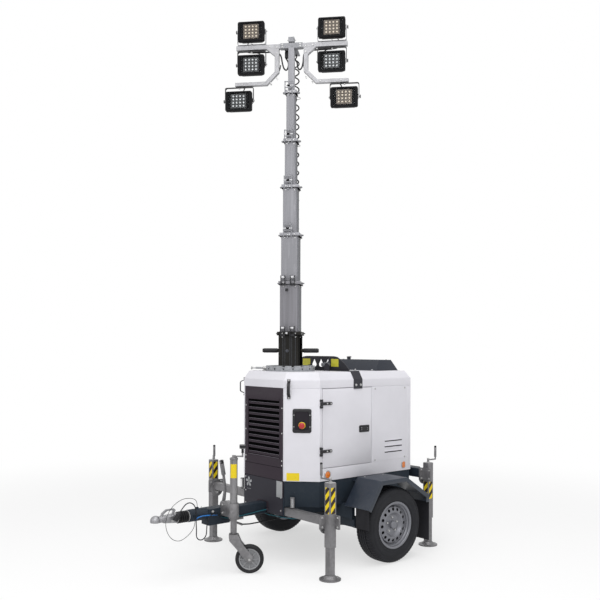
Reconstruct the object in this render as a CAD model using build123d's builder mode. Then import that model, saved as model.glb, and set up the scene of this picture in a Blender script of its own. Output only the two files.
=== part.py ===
from build123d import *
import os
from math import atan2, cos, degrees, hypot, pi, radians, sin, sqrt, tan

os.makedirs("parts", exist_ok=True)

# Mobile light tower on a single-axle braked trailer. Millimetres, +X towards the coupling,
# +Y to the left, +Z up. The origin is on the ground under the middle of the outline.
# Every "ahead" value is counted forward from the axle line.

# Overall reach
coupling_ahead = 1737
rear_jack_ahead = -640
crank_arm = 85
crank_grip_r = 10
rear_reach = rear_jack_ahead - crank_arm - crank_grip_r
axle_x = -(coupling_ahead + rear_reach) / 2

# Running clearances
slide_gap = 0.3
pin_gap = 0.1
door_gap = 4
arm_clear = 6

# Canopy
canopy_half = 459
canopy_front_ahead = 727
canopy_rear_ahead = -501
front_half = canopy_half - 195
canopy_bottom = 653
sill_top = 751
roof_seam = 1371
roof_top = 1495
roof_chamfer = 62
roof_inset = 38
wall = 25
door_front_ahead = 508
door_rear_ahead = -34
mast_ahead = 450
mast_hole_r = 131

# Road wheels
tyre_r = 297
tyre_width = 165
tyre_wall = 12
bead_r = 168
track_half = canopy_half + 222
rim_lip_r = 184
rim_wall = 4
hand_hole_count = 16
hand_hole_r = 10
hand_hole_ring_r = 128
hub_cap_r = 30
drum_r = 105
spindle_r = 17

# Tub and chassis
tub_inset = 8
tub_wall = 6
tub_bottom = 455
rail_half = canopy_half - 159
rail_width = 50
rail_height = 70
beam_ahead = 232
beam_z = 320
beam_size = 80
beam_half = track_half - 133
arm_plate = 30

# Front dark panel with its louvres
panel_half = front_half - 14
louvre_half = panel_half - 45
louvre_count = 10
louvre_first = 848
louvre_pitch = 44.4
louvre_height = 32
louvre_margin = 6

# Outriggers: the arms slide across the trailer, the jacks stand at their ends
front_jack_ahead = 694
front_jack_half = canopy_half + 302
rear_jack_half = canopy_half + 77
arm_width = 50
arm_height = 60
sleeve_wall = 8
front_sleeve_half = front_half - 4
rear_sleeve_half = canopy_half + 1
left_arm_z = 418
right_arm_z = 485
rear_arm_z = 610
front_arm_inner = -20
rear_arm_inner = 40
jack_tube = 60
jack_leg = 50
jack_top = 705
jack_tube_bottom = 235
jack_leg_top = 480
end_plate_half = 72
side_plate_reach = 62
clamp_plate = 12
clamp_height = 100
swivel_r = 60
swivel_drop = 32
foot_r = 80
foot_plate = 8
crank_rod_r = 6
crank_stub = 24
crank_rise = 28
crank_grip_length = 82

# Drawbar, overrun device and jockey wheel
drawbar_size = 90
drawbar_z = 417
housing_rear_ahead = coupling_ahead - 652
housing_front_ahead = coupling_ahead - 309
gaiter_front_ahead = coupling_ahead - 207
housing_bottom = 350
housing_top = 472
housing_half = 50
housing_box_length = 190
gaiter_r = 44
shaft_r = 22
coupling_z = 436
ball_r = 25.4
jockey_ahead = coupling_ahead - 600
jockey_y = 175
jockey_tube_r = 28
jockey_leg_r = 24
jockey_tube_top = 852
jockey_tube_bottom = 408
jockey_leg_bottom = 292
jockey_leg_top = jockey_tube_top - 120
jockey_trail = 120
jockey_wheel_r = 107
jockey_wheel_width = 50
jockey_wheel_turn = degrees(atan2(75, -94))
jockey_axle_r = 6

# Mast: square sections, outermost first
mast_turn = 42
mast_base = tub_bottom + tub_wall + slide_gap
mast_foot_top = 1815
mast_wall = 4
section_length = 1300
collar_rim = 12
collar_height = 26
handle_z = mast_foot_top - 152
handle_reach = 232
handle_r = 15.5
ring_r = 200
ring_height = 45

# Lamp frame
bar_half = 460
bar_size = 38
bar_top = 4178
frame_leg_u = 120
frame_drop = 333
frame_leg_size = 36
frame_shelf_half = 470
frame_shelf_height = 30
upper_lamp_u = 333
lower_lamp_u = 436
lamp_width = 222
lamp_height = 184
lamp_depth = 92
lamp_bezel = 14
lamp_rim_depth = 40
yoke_gap = 5
yoke_strap = 4
yoke_strap_width = 26
lamp_standoff = 118
lamp_pin_r = 6
knob_r = 15

# Cables
mast_cable_r = 30
mast_cable_back = -137
mast_cable_across = 18
mast_cable_low = 1800
plug_r = 20
plug_length = 76
gland_y = 62
gland_z = 405
gland_r = 9
gland_share = 0.05


def ahead(distance):
    return axle_x + distance


def block(x0, x1, y0, y1, z0, z1, mode=Mode.ADD):
    with Locations(((x0 + x1) / 2, (y0 + y1) / 2, (z0 + z1) / 2)):
        Box(abs(x1 - x0), abs(y1 - y0), abs(z1 - z0), mode=mode)


def folded(line, sheet):
    # Closed outline of a bent sheet: the line, then the same line set in by the sheet's thickness
    inner = []
    for i, (x, y) in enumerate(line):
        before = line[max(i - 1, 0)]
        after = line[min(i + 1, len(line) - 1)]
        turns = [(b[0] - a[0], b[1] - a[1]) for a, b in ((before, (x, y)), ((x, y), after)) if a != b]
        normals = [(-dy / hypot(dx, dy), dx / hypot(dx, dy)) for dx, dy in turns]
        nx = sum(n[0] for n in normals) / len(normals)
        ny = sum(n[1] for n in normals) / len(normals)
        stretch = sheet / (nx * nx + ny * ny)
        inner.append((x + nx * stretch, y + ny * stretch))
    return line + inner[::-1]


def plan_points(inset):
    # The canopy's plan: a rectangle whose two front corners are cut at 45 degrees
    cut = canopy_half - front_half
    shift = inset * (sqrt(2) - 1)
    front = ahead(canopy_front_ahead) - inset
    rear = ahead(canopy_rear_ahead) + inset
    side = canopy_half - inset
    facet_y = front_half - shift
    facet_x = ahead(canopy_front_ahead) - cut - shift
    return [(rear, -side), (facet_x, -side), (front, -facet_y), (front, facet_y), (facet_x, side),
            (rear, side)]


def plan_face(inset, mode=Mode.ADD):
    Polygon(*plan_points(inset), align=None, mode=mode)


# Road wheels: a radial tyre on a pressed steel rim, each side on its own hub
for side_name, side in (("left", 1), ("right", -1)):
    wheel_plane = Plane(origin=(axle_x, side * track_half, tyre_r), x_dir=(1, 0, 0), z_dir=(0, -1, 0))
    half = tyre_width / 2
    bead_half = half - 14
    with BuildPart() as tyre:
        with BuildSketch(Plane(origin=(axle_x, side * track_half, tyre_r), x_dir=(0, 1, 0), z_dir=(1, 0, 0))):
            with BuildLine():
                Polyline((-bead_half, bead_r), (-bead_half, bead_r + 16))
                ThreePointArc((-bead_half, bead_r + 16), (-half, bead_r + 62), (-half + 14, tyre_r - 12))
                Line((-half + 14, tyre_r - 12), (-half + 34, tyre_r))
                Line((-half + 34, tyre_r), (half - 34, tyre_r))
                Line((half - 34, tyre_r), (half - 14, tyre_r - 12))
                ThreePointArc((half - 14, tyre_r - 12), (half, bead_r + 62), (bead_half, bead_r + 16))
                Polyline((bead_half, bead_r + 16), (bead_half, bead_r), (bead_half - tyre_wall, bead_r))
                ThreePointArc((bead_half - tyre_wall, bead_r), (half - tyre_wall, bead_r + 62),
                              (half - 36, tyre_r - 14))
                Line((half - 36, tyre_r - 14), (-half + 36, tyre_r - 14))
                ThreePointArc((-half + 36, tyre_r - 14), (-half + tyre_wall, bead_r + 62),
                              (-bead_half + tyre_wall, bead_r))
                Line((-bead_half + tyre_wall, bead_r), (-bead_half, bead_r))
            make_face()
        revolve(axis=Axis((axle_x, side * track_half, tyre_r), (0, 1, 0)))
    tyre.part.label = f"tyre_{side_name}"
    export_step(tyre.part, f"parts/tyre_{side_name}.step")

    barrel_r = bead_r - slide_gap
    with BuildPart() as rim:
        with BuildSketch(Plane(origin=(axle_x, side * track_half, tyre_r), x_dir=(0, side, 0),
                               z_dir=(side, 0, 0))):
            with BuildLine():
                lip_in = bead_half + slide_gap
                Polyline(
                    (lip_in, barrel_r), (lip_in, rim_lip_r), (lip_in + 5, rim_lip_r),
                    (lip_in + 5, barrel_r - rim_wall), (30, barrel_r - 22), (-30, barrel_r - 22),
                    (-lip_in - 5, barrel_r - rim_wall), (-lip_in - 5, rim_lip_r), (-lip_in, rim_lip_r),
                    (-lip_in, barrel_r), (-26, barrel_r - 16), (26, barrel_r - 16), (lip_in, barrel_r),
                )
            make_face()
            # The pressed disc: a slope with hand holes, a crest, the bolted face and the hub cap
            with BuildLine():
                Polyline(
                    (14, barrel_r - 21), (24, barrel_r - 21), (50, 126), (56, 108), (54, 94), (32, 80),
                    (32, hub_cap_r + 2),
                    (58, hub_cap_r), (62, hub_cap_r - 8), (62, 0), (46, 0), (46, spindle_r + pin_gap),
                    (26, spindle_r + pin_gap), (26, 82), (48, 97), (49, 107), (44, 122), close=True,
                )
            make_face()
        revolve(axis=Axis((axle_x, side * track_half, tyre_r), (0, 1, 0)))
        with Locations(wheel_plane):
            with PolarLocations(hand_hole_ring_r, hand_hole_count):
                Cylinder(hand_hole_r, tyre_width, mode=Mode.SUBTRACT)
    rim.part.label = f"rim_{side_name}"
    export_step(rim.part, f"parts/rim_{side_name}.step")

# Torsion axle: a cross beam on two brackets, with a trailing arm, a brake drum and a spindle at each end
rail_bottom = tub_bottom - rail_height
with BuildPart() as axle:
    beam_x = ahead(beam_ahead)
    arm_outer = beam_half + arm_plate
    with BuildSketch(Plane(origin=(beam_x, -beam_half, beam_z), x_dir=(1, 0, 0), z_dir=(0, -1, 0))):
        RectangleRounded(beam_size, beam_size, 18)
    extrude(amount=-2 * beam_half)
    for side in (1, -1):
        block(beam_x - beam_size / 2, beam_x + beam_size / 2, side * (rail_half - 30),
              side * (rail_half + 30),
              beam_z, rail_bottom - slide_gap)
        with BuildSketch(Plane(origin=(0, side * (beam_half - 1), 0), x_dir=(1, 0, 0), z_dir=(0, -1, 0))):
            with BuildLine():
                Polyline(
                    (beam_x + 42, beam_z - 24), (beam_x + 42, beam_z + 24), (beam_x + 24, beam_z + 42),
                    (beam_x - 24, beam_z + 42), (axle_x, tyre_r + 36), (axle_x, tyre_r - 36),
                    (beam_x - 24, beam_z - 42), (beam_x + 24, beam_z - 42), close=True,
                )
            make_face()
        extrude(amount=-side * (arm_plate + 1))
        with BuildSketch(Plane(origin=(beam_x, side * arm_outer, beam_z), x_dir=(1, 0, 0),
                               z_dir=(0, side, 0))):
            Circle(24)
        extrude(amount=12)
        for hub_r, hub_outer in ((drum_r, track_half - 6), (spindle_r, track_half + 40)):
            with BuildSketch(Plane(origin=(axle_x, side * arm_outer, tyre_r), x_dir=(1, 0, 0),
                                   z_dir=(0, side, 0))):
                Circle(hub_r)
            extrude(amount=hub_outer - arm_outer)
axle.part.label = "axle"
export_step(axle.part, "parts/axle.step")

# Tub: the dark steel base that the canopy and the mast stand on
sleeve_half_x = arm_width / 2 + sleeve_wall
sleeve_top = right_arm_z + arm_height / 2 + sleeve_wall
sleeve_bottom = left_arm_z - arm_height / 2 - sleeve_wall
sleeve_rear = ahead(front_jack_ahead) - sleeve_half_x
with BuildPart() as tub:
    with BuildSketch(Plane.XY.offset(tub_bottom)):
        plan_face(tub_inset)
    extrude(amount=canopy_bottom - tub_bottom)
    with BuildSketch(Plane.XY.offset(tub_bottom + tub_wall)):
        plan_face(tub_inset + tub_wall)
    extrude(amount=canopy_bottom - tub_bottom, mode=Mode.SUBTRACT)
    block(sleeve_rear, ahead(canopy_front_ahead) + 1, -front_sleeve_half, front_sleeve_half,
          tub_bottom - 1, sleeve_top, mode=Mode.SUBTRACT)
    # Slot for the right arm, which slides out above the tub's lower edge
    block(ahead(front_jack_ahead) - arm_width / 2 - arm_clear,
          ahead(front_jack_ahead) + arm_width / 2 + arm_clear,
          -canopy_half, -front_sleeve_half + 1, tub_bottom - 1, right_arm_z + arm_height / 2 + arm_clear,
          mode=Mode.SUBTRACT)
tub.part.label = "base_tub"
export_step(tub.part, "parts/base_tub.step")

# Chassis rails under the tub, from the rear wall to the front cross member
with BuildPart() as rails:
    for side in (1, -1):
        block(ahead(canopy_rear_ahead) + 20, sleeve_rear - slide_gap,
              side * (rail_half - rail_width / 2), side * (rail_half + rail_width / 2), rail_bottom,
              tub_bottom)
rails.part.label = "chassis_rails"
export_step(rails.part, "parts/chassis_rails.step")

# Cross members: in front two stacked sleeves, one for each front arm, and behind one sleeve for
# both rear arms, on two brackets from the tub
with BuildPart() as cross_members:
    front_jack_x = ahead(front_jack_ahead)
    rear_jack_x = ahead(rear_jack_ahead)
    rear_sleeve_height = arm_height / 2 + sleeve_wall
    block(front_jack_x - sleeve_half_x, front_jack_x + sleeve_half_x, -front_sleeve_half, front_sleeve_half,
          sleeve_bottom, sleeve_top)
    block(rear_jack_x - sleeve_half_x, rear_jack_x + sleeve_half_x, -rear_sleeve_half, rear_sleeve_half,
          rear_arm_z - rear_sleeve_height, rear_arm_z + rear_sleeve_height)
    for side in (1, -1):
        block(rear_jack_x, ahead(canopy_rear_ahead) + tub_inset, side * (rail_half - 40),
              side * (rail_half + 40),
              rear_arm_z - arm_height / 2, rear_arm_z + arm_height / 2)
    for sleeve_x, sleeve_half, arm_z in (
        (front_jack_x, front_sleeve_half, left_arm_z),
        (front_jack_x, front_sleeve_half, right_arm_z),
        (rear_jack_x, rear_sleeve_half, rear_arm_z),
    ):
        block(sleeve_x - arm_width / 2 - slide_gap, sleeve_x + arm_width / 2 + slide_gap,
              -sleeve_half - 1, sleeve_half + 1,
              arm_z - arm_height / 2 - slide_gap, arm_z + arm_height / 2 + slide_gap, mode=Mode.SUBTRACT)
cross_members.part.label = "cross_members"
export_step(cross_members.part, "parts/cross_members.step")

# Mudguards: folded sheet, flat on top and sloped to both ends, with an outer flange and a tie to the tub
guard_top = 665
guard_sheet = 4
guard_flange = 34
guard_outer = canopy_half + 326
guard_inner = canopy_half + 61
guard_front = 326
guard_tail = -365
guard_profile = [(guard_front, 456), (186, guard_top), (-105, guard_top), (guard_tail, 500),
                 (guard_tail, 440)]
guard_line = [(ahead(distance), z) for distance, z in guard_profile]
guard_tie_drop = 40
guard_tie_rear, guard_tie_front = ahead(-95), ahead(175)
with BuildPart() as mudguards:
    for side in (1, -1):
        for y_from, y_to, depth in (
            (guard_inner, guard_outer, guard_sheet),
            (guard_outer - guard_sheet, guard_outer, guard_flange),
        ):
            with BuildSketch(Plane(origin=(0, side * y_from, 0), x_dir=(1, 0, 0), z_dir=(0, -1, 0))):
                with BuildLine():
                    Polyline(*folded(guard_line, depth), close=True)
                make_face()
            extrude(amount=-side * (y_to - y_from))
        block(guard_tie_rear, guard_tie_front, side * (canopy_half - tub_inset), side * (guard_inner + 1),
              guard_top - guard_tie_drop, guard_top - guard_tie_drop + guard_sheet)
        block(guard_tie_rear, guard_tie_front, side * guard_inner, side * (guard_inner + guard_sheet),
              guard_top - guard_tie_drop, guard_top - guard_sheet)
mudguards.part.label = "mudguards"
export_step(mudguards.part, "parts/mudguards.step")

# Rubber flaps bolted to the guards' ends: long ones behind the wheels, short narrow ones in front
flap_sheet = 6
rear_flap_width, rear_flap_bottom, rear_flap_top = 190, 130, 480
front_flap_width, front_flap_bottom, front_flap_top = 140, 300, 457
with BuildPart() as flaps:
    for side in (1, -1):
        block(ahead(guard_tail) - slide_gap - flap_sheet, ahead(guard_tail) - slide_gap,
              side * (guard_outer - 5 - rear_flap_width), side * (guard_outer - 5), rear_flap_bottom,
              rear_flap_top)
        block(ahead(guard_front) - 6 - flap_sheet, ahead(guard_front) - 6,
              side * (guard_outer - 5 - front_flap_width), side * (guard_outer - guard_sheet - slide_gap),
              front_flap_bottom, front_flap_top)
flaps.part.label = "mudflaps"
export_step(flaps.part, "parts/mudflaps.step")

# Outriggers: a sliding arm whose end plate and side plate hold the jack's outer tube, with a round
# swivel plate behind them and the crank on top, and a jack leg with its foot inside the tube
jack_corners = (
    # name, ahead, side, half, arm_z, arm_inner, crank_yaw, side plate in front (1) or behind (-1)
    ("front_left", front_jack_ahead, 1, front_jack_half, left_arm_z, front_arm_inner, -80, -1),
    ("front_right", front_jack_ahead, -1, front_jack_half, right_arm_z, front_arm_inner, 60, -1),
    ("rear_left", rear_jack_ahead, 1, rear_jack_half, rear_arm_z, rear_arm_inner, 175, 1),
    ("rear_right", rear_jack_ahead, -1, rear_jack_half, rear_arm_z, rear_arm_inner, 150, 1),
)
for name, distance, side, half, arm_z, arm_inner, crank_yaw, plate_way in jack_corners:
    x = ahead(distance)
    y = side * half
    bore = jack_leg + 2 * slide_gap
    tube_face = half - jack_tube / 2
    with BuildPart() as outrigger:
        block(x - arm_width / 2, x + arm_width / 2, side * arm_inner, side * (tube_face + 1),
              arm_z - arm_height / 2, arm_z + arm_height / 2)
        block(x - end_plate_half, x + end_plate_half, side * (tube_face - clamp_plate),
              side * (tube_face + 1),
              arm_z - clamp_height / 2, arm_z + clamp_height / 2)
        block(x + plate_way * (jack_tube / 2 - 1), x + plate_way * (jack_tube / 2 + clamp_plate),
              side * (tube_face - clamp_plate), side * (half + side_plate_reach),
              arm_z - clamp_height / 2, arm_z + clamp_height / 2)
        with BuildSketch(Plane(origin=(x, side * (tube_face - clamp_plate), arm_z - swivel_drop),
                               x_dir=(1, 0, 0), z_dir=(0, -side, 0))):
            Circle(swivel_r)
        extrude(amount=clamp_plate)
        block(x - jack_tube / 2, x + jack_tube / 2, y - jack_tube / 2, y + jack_tube / 2,
              jack_tube_bottom, jack_top)
        block(x - bore / 2, x + bore / 2, y - bore / 2, y + bore / 2, jack_tube_bottom - 1, jack_top - 6,
              mode=Mode.SUBTRACT)
        # Crank: a stub, a level arm, an upright end and its grip
        turn = radians(crank_yaw)
        grip_x = x + crank_arm * cos(turn)
        grip_y = y + crank_arm * sin(turn)
        crank_z = jack_top + crank_stub
        with BuildSketch(Plane(origin=(x, y, jack_top - 1), z_dir=(0, 0, 1))):
            Circle(crank_rod_r + 3)
        extrude(amount=crank_stub + crank_rod_r + 2)
        with BuildSketch(Plane(origin=(x, y, crank_z), x_dir=(0, 0, 1), z_dir=(cos(turn), sin(turn), 0))):
            Circle(crank_rod_r)
        extrude(amount=crank_arm)
        with Locations((grip_x, grip_y, crank_z)):
            Sphere(crank_rod_r)
        for rod_r, rod_z, rod_length in (
            (crank_rod_r, crank_z, crank_rise),
            (crank_grip_r, crank_z + crank_rise - 8, crank_grip_length),
        ):
            with BuildSketch(Plane(origin=(grip_x, grip_y, rod_z), z_dir=(0, 0, 1))):
                Circle(rod_r)
            extrude(amount=rod_length)
    outrigger.part.label = f"outrigger_{name}"
    export_step(outrigger.part, f"parts/outrigger_{name}.step")

    with BuildPart() as leg:
        with BuildSketch(Plane(origin=(x, y, 0), z_dir=(0, 0, 1))):
            Circle(foot_r)
        extrude(amount=foot_plate)
        with BuildSketch(Plane(origin=(x, y, foot_plate), z_dir=(0, 0, 1))):
            Circle(foot_r - 22)
        extrude(amount=20, taper=35)
        block(x - jack_leg / 2, x + jack_leg / 2, y - jack_leg / 2, y + jack_leg / 2, foot_plate,
              jack_leg_top)
    leg.part.label = f"jack_leg_{name}"
    export_step(leg.part, f"parts/jack_leg_{name}.step")

# Canopy corners: the two white front facets with their short returns
side_front_x = ahead(door_front_ahead)
with BuildPart() as corners:
    with BuildSketch(Plane.XY.offset(canopy_bottom)):
        plan_face(0)
        plan_face(wall, mode=Mode.SUBTRACT)
        with Locations((ahead(canopy_rear_ahead) - 1, 0)):
            Rectangle(side_front_x - ahead(canopy_rear_ahead) + 1, 2 * canopy_half + 2,
                      align=(Align.MIN, Align.CENTER), mode=Mode.SUBTRACT)
        with Locations((ahead(canopy_front_ahead), 0)):
            Rectangle(2 * wall + 4, 2 * panel_half, mode=Mode.SUBTRACT)
    extrude(amount=roof_seam - canopy_bottom)
corners.part.label = "canopy_corners"
export_step(corners.part, "parts/canopy_corners.step")

# Front panel: dark sheet steel with a louvred air intake, and a thin skirt plate in front of the
# cross member that is notched over the drawbar
skirt_sheet = 3
skirt_bottom = 385
gland_length = gland_share * (housing_rear_ahead - canopy_front_ahead) - slide_gap - 1
louvre_blade = ((-2, -16), (-5, -18), (-20, 12), (-17, 14))
with BuildPart() as front_panel:
    panel_x = ahead(canopy_front_ahead)
    block(panel_x - wall, panel_x, -panel_half, panel_half, canopy_bottom, roof_seam)
    block(panel_x - tub_inset, panel_x + slide_gap + 1, -panel_half, panel_half, sleeve_top + 1,
          canopy_bottom + 1)
    block(panel_x + slide_gap, panel_x + slide_gap + skirt_sheet, -panel_half, panel_half, skirt_bottom,
          canopy_bottom)
    block(panel_x - 1, panel_x + 9, -drawbar_size / 2 - 1.3, drawbar_size / 2 + 1.3,
          skirt_bottom - 1, drawbar_z + drawbar_size / 2 + 1, mode=Mode.SUBTRACT)
    with BuildSketch(Plane(origin=(panel_x + slide_gap + 1, gland_y, gland_z), x_dir=(0, 1, 0),
                           z_dir=(1, 0, 0))):
        Circle(gland_r)
    extrude(amount=gland_length)
    intake_low = louvre_first - louvre_height / 2 - louvre_margin
    intake_high = louvre_first + (louvre_count - 1) * louvre_pitch + louvre_height / 2 + louvre_margin
    block(panel_x - wall - 1, panel_x + 1, -louvre_half, louvre_half, intake_low, intake_high,
          mode=Mode.SUBTRACT)
    for i in range(louvre_count):
        z = louvre_first + i * louvre_pitch
        with BuildSketch(Plane(origin=(0, louvre_half + 1, 0), x_dir=(1, 0, 0), z_dir=(0, -1, 0))):
            with BuildLine():
                Polyline(*[(panel_x + depth, z + height) for depth, height in louvre_blade], close=True)
            make_face()
        extrude(amount=2 * louvre_half + 2)
front_panel.part.label = "front_panel"
export_step(front_panel.part, "parts/front_panel.step")

# Canopy walls: two sides, each a sill with a rear panel and the doorway open up to the roof seam,
# and the rear wall with its row of air slots
rear_slot_count = 8
rear_slot_first = 968
rear_slot_height = 18
with BuildPart() as walls:
    rear_x = ahead(canopy_rear_ahead)
    for side in (1, -1):
        block(rear_x + wall + slide_gap, side_front_x, side * (canopy_half - wall), side * canopy_half,
              canopy_bottom, roof_seam)
        block(ahead(door_rear_ahead), side_front_x + 1, side * (canopy_half - wall - 1),
              side * (canopy_half + 1),
              sill_top, roof_seam + 1, mode=Mode.SUBTRACT)
    block(rear_x, rear_x + wall, -canopy_half, canopy_half, canopy_bottom, roof_seam)
    for i in range(rear_slot_count):
        z = rear_slot_first + i * louvre_pitch
        block(rear_x - 1, rear_x + wall + 1, -louvre_half, louvre_half, z, z + rear_slot_height,
              mode=Mode.SUBTRACT)
walls.part.label = "canopy_walls"
export_step(walls.part, "parts/canopy_walls.step")

# Roof: a deep lid with a chamfered upper edge, open below, with the mast's round hole
with BuildPart() as roof:
    with BuildSketch(Plane.XY.offset(roof_seam)):
        plan_face(0)
    extrude(amount=roof_top - roof_seam)
    chamfer(roof.faces().sort_by(Axis.Z)[-1].edges(), length=roof_chamfer, length2=roof_inset)
    with BuildSketch(Plane.XY.offset(roof_seam)):
        plan_face(wall)
    extrude(amount=roof_top - roof_seam - wall, mode=Mode.SUBTRACT)
    with BuildSketch(Plane(origin=(ahead(mast_ahead), 0, roof_seam), z_dir=(0, 0, 1))):
        Circle(mast_hole_r)
    extrude(amount=roof_top - roof_seam + 1, mode=Mode.SUBTRACT)
roof.part.label = "canopy_roof"
export_step(roof.part, "parts/canopy_roof.step")

# Doors: full-thickness panels hung on two black hinges at their front edges
hinge_x = ahead(door_front_ahead + 17)
hinge_y = canopy_half + 14
hinge_heights = (884, 1253)
hinge_barrel_r = 11
hinge_pin_r = 5
hinge_knuckle = 16
hinge_ear = 34
hinge_arm_length = 114
latch_front = ahead(110)
latch_z = 1035
for side_name, side in (("left", 1), ("right", -1)):
    with BuildPart() as door:
        block(ahead(door_rear_ahead) + door_gap, side_front_x - door_gap, side * (canopy_half - wall),
              side * canopy_half, sill_top + door_gap, roof_seam - door_gap)
        for z in hinge_heights:
            with BuildSketch(Plane(origin=(hinge_x, side * hinge_y, z - hinge_knuckle), z_dir=(0, 0, 1))):
                Circle(hinge_barrel_r)
            extrude(amount=2 * hinge_knuckle)
            block(hinge_x - hinge_arm_length, hinge_x, side * canopy_half, side * (canopy_half + 8),
                  z - 11, z + 11)
            with BuildSketch(Plane(origin=(hinge_x, side * hinge_y, z - hinge_knuckle - 1), z_dir=(0, 0, 1))):
                Circle(hinge_pin_r + pin_gap)
            extrude(amount=2 * hinge_knuckle + 2, mode=Mode.SUBTRACT)
        # Latch: a plate with a raised handle
        block(latch_front - 108, latch_front, side * canopy_half, side * (canopy_half + 5), latch_z - 26,
              latch_z + 26)
        block(latch_front - 80, latch_front - 14, side * canopy_half, side * (canopy_half + 16),
              latch_z - 9, latch_z + 11)
    door.part.label = f"door_{side_name}"
    export_step(door.part, f"parts/door_{side_name}.step")

# Fixed hinge leaves: a plate on the corner with two ears and the pin that the door turns on
with BuildPart() as hinges:
    for side in (1, -1):
        for z in hinge_heights:
            for ear_low, ear_high in (
                (z - hinge_ear, z - hinge_knuckle - slide_gap),
                (z + hinge_knuckle + slide_gap, z + hinge_ear),
            ):
                with BuildSketch(Plane(origin=(hinge_x, side * hinge_y, ear_low), z_dir=(0, 0, 1))):
                    Circle(hinge_barrel_r)
                extrude(amount=ear_high - ear_low)
                block(hinge_x - 9, hinge_x + 9, side * canopy_half, side * hinge_y, ear_low, ear_high)
            with BuildSketch(Plane(origin=(hinge_x, side * hinge_y, z - hinge_ear), z_dir=(0, 0, 1))):
                Circle(hinge_pin_r)
            extrude(amount=2 * hinge_ear)
hinges.part.label = "door_hinges"
export_step(hinges.part, "parts/door_hinges.step")

# Lifting beam: a plate with three holes across the roof, on a strap that turns down both sides
beam_plate_x = ahead(127)
strap_half = 47
strap_sheet = 6
strap_bottom = 1360
beam_plate = 10
beam_plate_top = 1617
beam_plate_height = beam_plate_top - roof_top
beam_outline = (
    # across, share of the plate's height
    (canopy_half - 87, 0.02), (300, 0.57), (215, 0.95), (170, 1), (-170, 1), (-215, 0.95), (-300, 0.57),
    (87 - canopy_half, 0.02),
)
beam_hole_places = (-85, 10, 105)
beam_hole_half = 24
with BuildPart() as lifting:
    top_y = canopy_half - roof_inset
    strap_line = [
        (canopy_half + strap_sheet, strap_bottom), (canopy_half + strap_sheet, roof_top - roof_chamfer + 2),
        (top_y + 3, roof_top + strap_sheet), (-top_y - 3, roof_top + strap_sheet),
        (-canopy_half - strap_sheet, roof_top - roof_chamfer + 2), (-canopy_half - strap_sheet, strap_bottom),
    ]
    with BuildSketch(Plane(origin=(beam_plate_x - strap_half, 0, 0), x_dir=(0, 1, 0), z_dir=(1, 0, 0))):
        with BuildLine():
            Polyline(*folded(strap_line, strap_sheet - slide_gap), close=True)
        make_face()
    extrude(amount=2 * strap_half)
    with BuildSketch(Plane(origin=(beam_plate_x - beam_plate / 2, 0, 0), x_dir=(0, 1, 0), z_dir=(1, 0, 0))):
        with BuildLine():
            Polyline(*[(y, roof_top + share * beam_plate_height) for y, share in beam_outline], close=True)
        make_face()
        for y in beam_hole_places:
            with BuildLine():
                Polyline(
                    (y, beam_plate_top - 0.18 * beam_plate_height),
                    (y + beam_hole_half, beam_plate_top - 0.62 * beam_plate_height),
                    (y, beam_plate_top - 0.8 * beam_plate_height),
                    (y - beam_hole_half, beam_plate_top - 0.62 * beam_plate_height), close=True,
                )
            make_face(mode=Mode.SUBTRACT)
    extrude(amount=beam_plate)
lifting.part.label = "lifting_beam"
export_step(lifting.part, "parts/lifting_beam.step")

# Exhaust cover: a low hopper on the roof's rear with four sloping sides, and the exhaust's short pipe
cover_foot = (ahead(-458), ahead(-188), canopy_half - 109)
cover_crown = (ahead(-413), ahead(-265), canopy_half - 149)
cover_top = 1585
cover_sheet = 4
pipe_place = (ahead(-345), -143)
pipe_r = 17
pipe_top = 1606
with BuildPart() as cover:
    for inset, mode in ((0, Mode.ADD), (cover_sheet, Mode.SUBTRACT)):
        for (rear, front, half), z in ((cover_foot, roof_top - inset), (cover_crown, cover_top - inset)):
            with BuildSketch(Plane.XY.offset(z)):
                Polygon((rear + inset, -half + inset), (front - inset, -half + inset),
                        (front - inset, half - inset), (rear + inset, half - inset), align=None)
        loft(mode=mode)
    with BuildSketch(Plane(origin=(*pipe_place, cover_top - 1), z_dir=(0, 0, 1))):
        Circle(pipe_r)
    extrude(amount=pipe_top - cover_top + 1)
cover.part.label = "exhaust_cover"
export_step(cover.part, "parts/exhaust_cover.step")

# Index ring: the toothed collar on the roof that holds the mast's turn, with its locking pin
mast_x = ahead(mast_ahead)
ring_teeth = 16
ring_tooth_height = 12
ring_pin_turn = radians(-50)
ring_pin_out = (cos(ring_pin_turn), sin(ring_pin_turn), 0)
with BuildPart() as ring:
    with BuildSketch(Plane(origin=(mast_x, 0, roof_top), z_dir=(0, 0, 1))):
        Circle(ring_r)
        Circle(mast_hole_r, mode=Mode.SUBTRACT)
    extrude(amount=ring_height - ring_tooth_height)
    with BuildSketch(Plane(origin=(mast_x, 0, roof_top), z_dir=(0, 0, 1))):
        with PolarLocations(ring_r - 16, ring_teeth):
            Rectangle(30, 52)
    extrude(amount=ring_height)
    with BuildSketch(Plane(origin=(mast_x + ring_r * ring_pin_out[0], ring_r * ring_pin_out[1],
                                   roof_top + 24),
                           x_dir=(0, 0, 1), z_dir=ring_pin_out)):
        Circle(8)
    extrude(amount=92)
ring.part.label = "index_ring"
export_step(ring.part, "parts/index_ring.step")

# Engine and alternator: one plain block on the tub's floor
engine_half = 190
engine_top = 1000
with BuildPart() as engine:
    block(ahead(-400), ahead(255), -engine_half, engine_half, tub_bottom + tub_wall, engine_top)
engine.part.label = "engine_block"
export_step(engine.part, "parts/engine_block.step")

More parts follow.
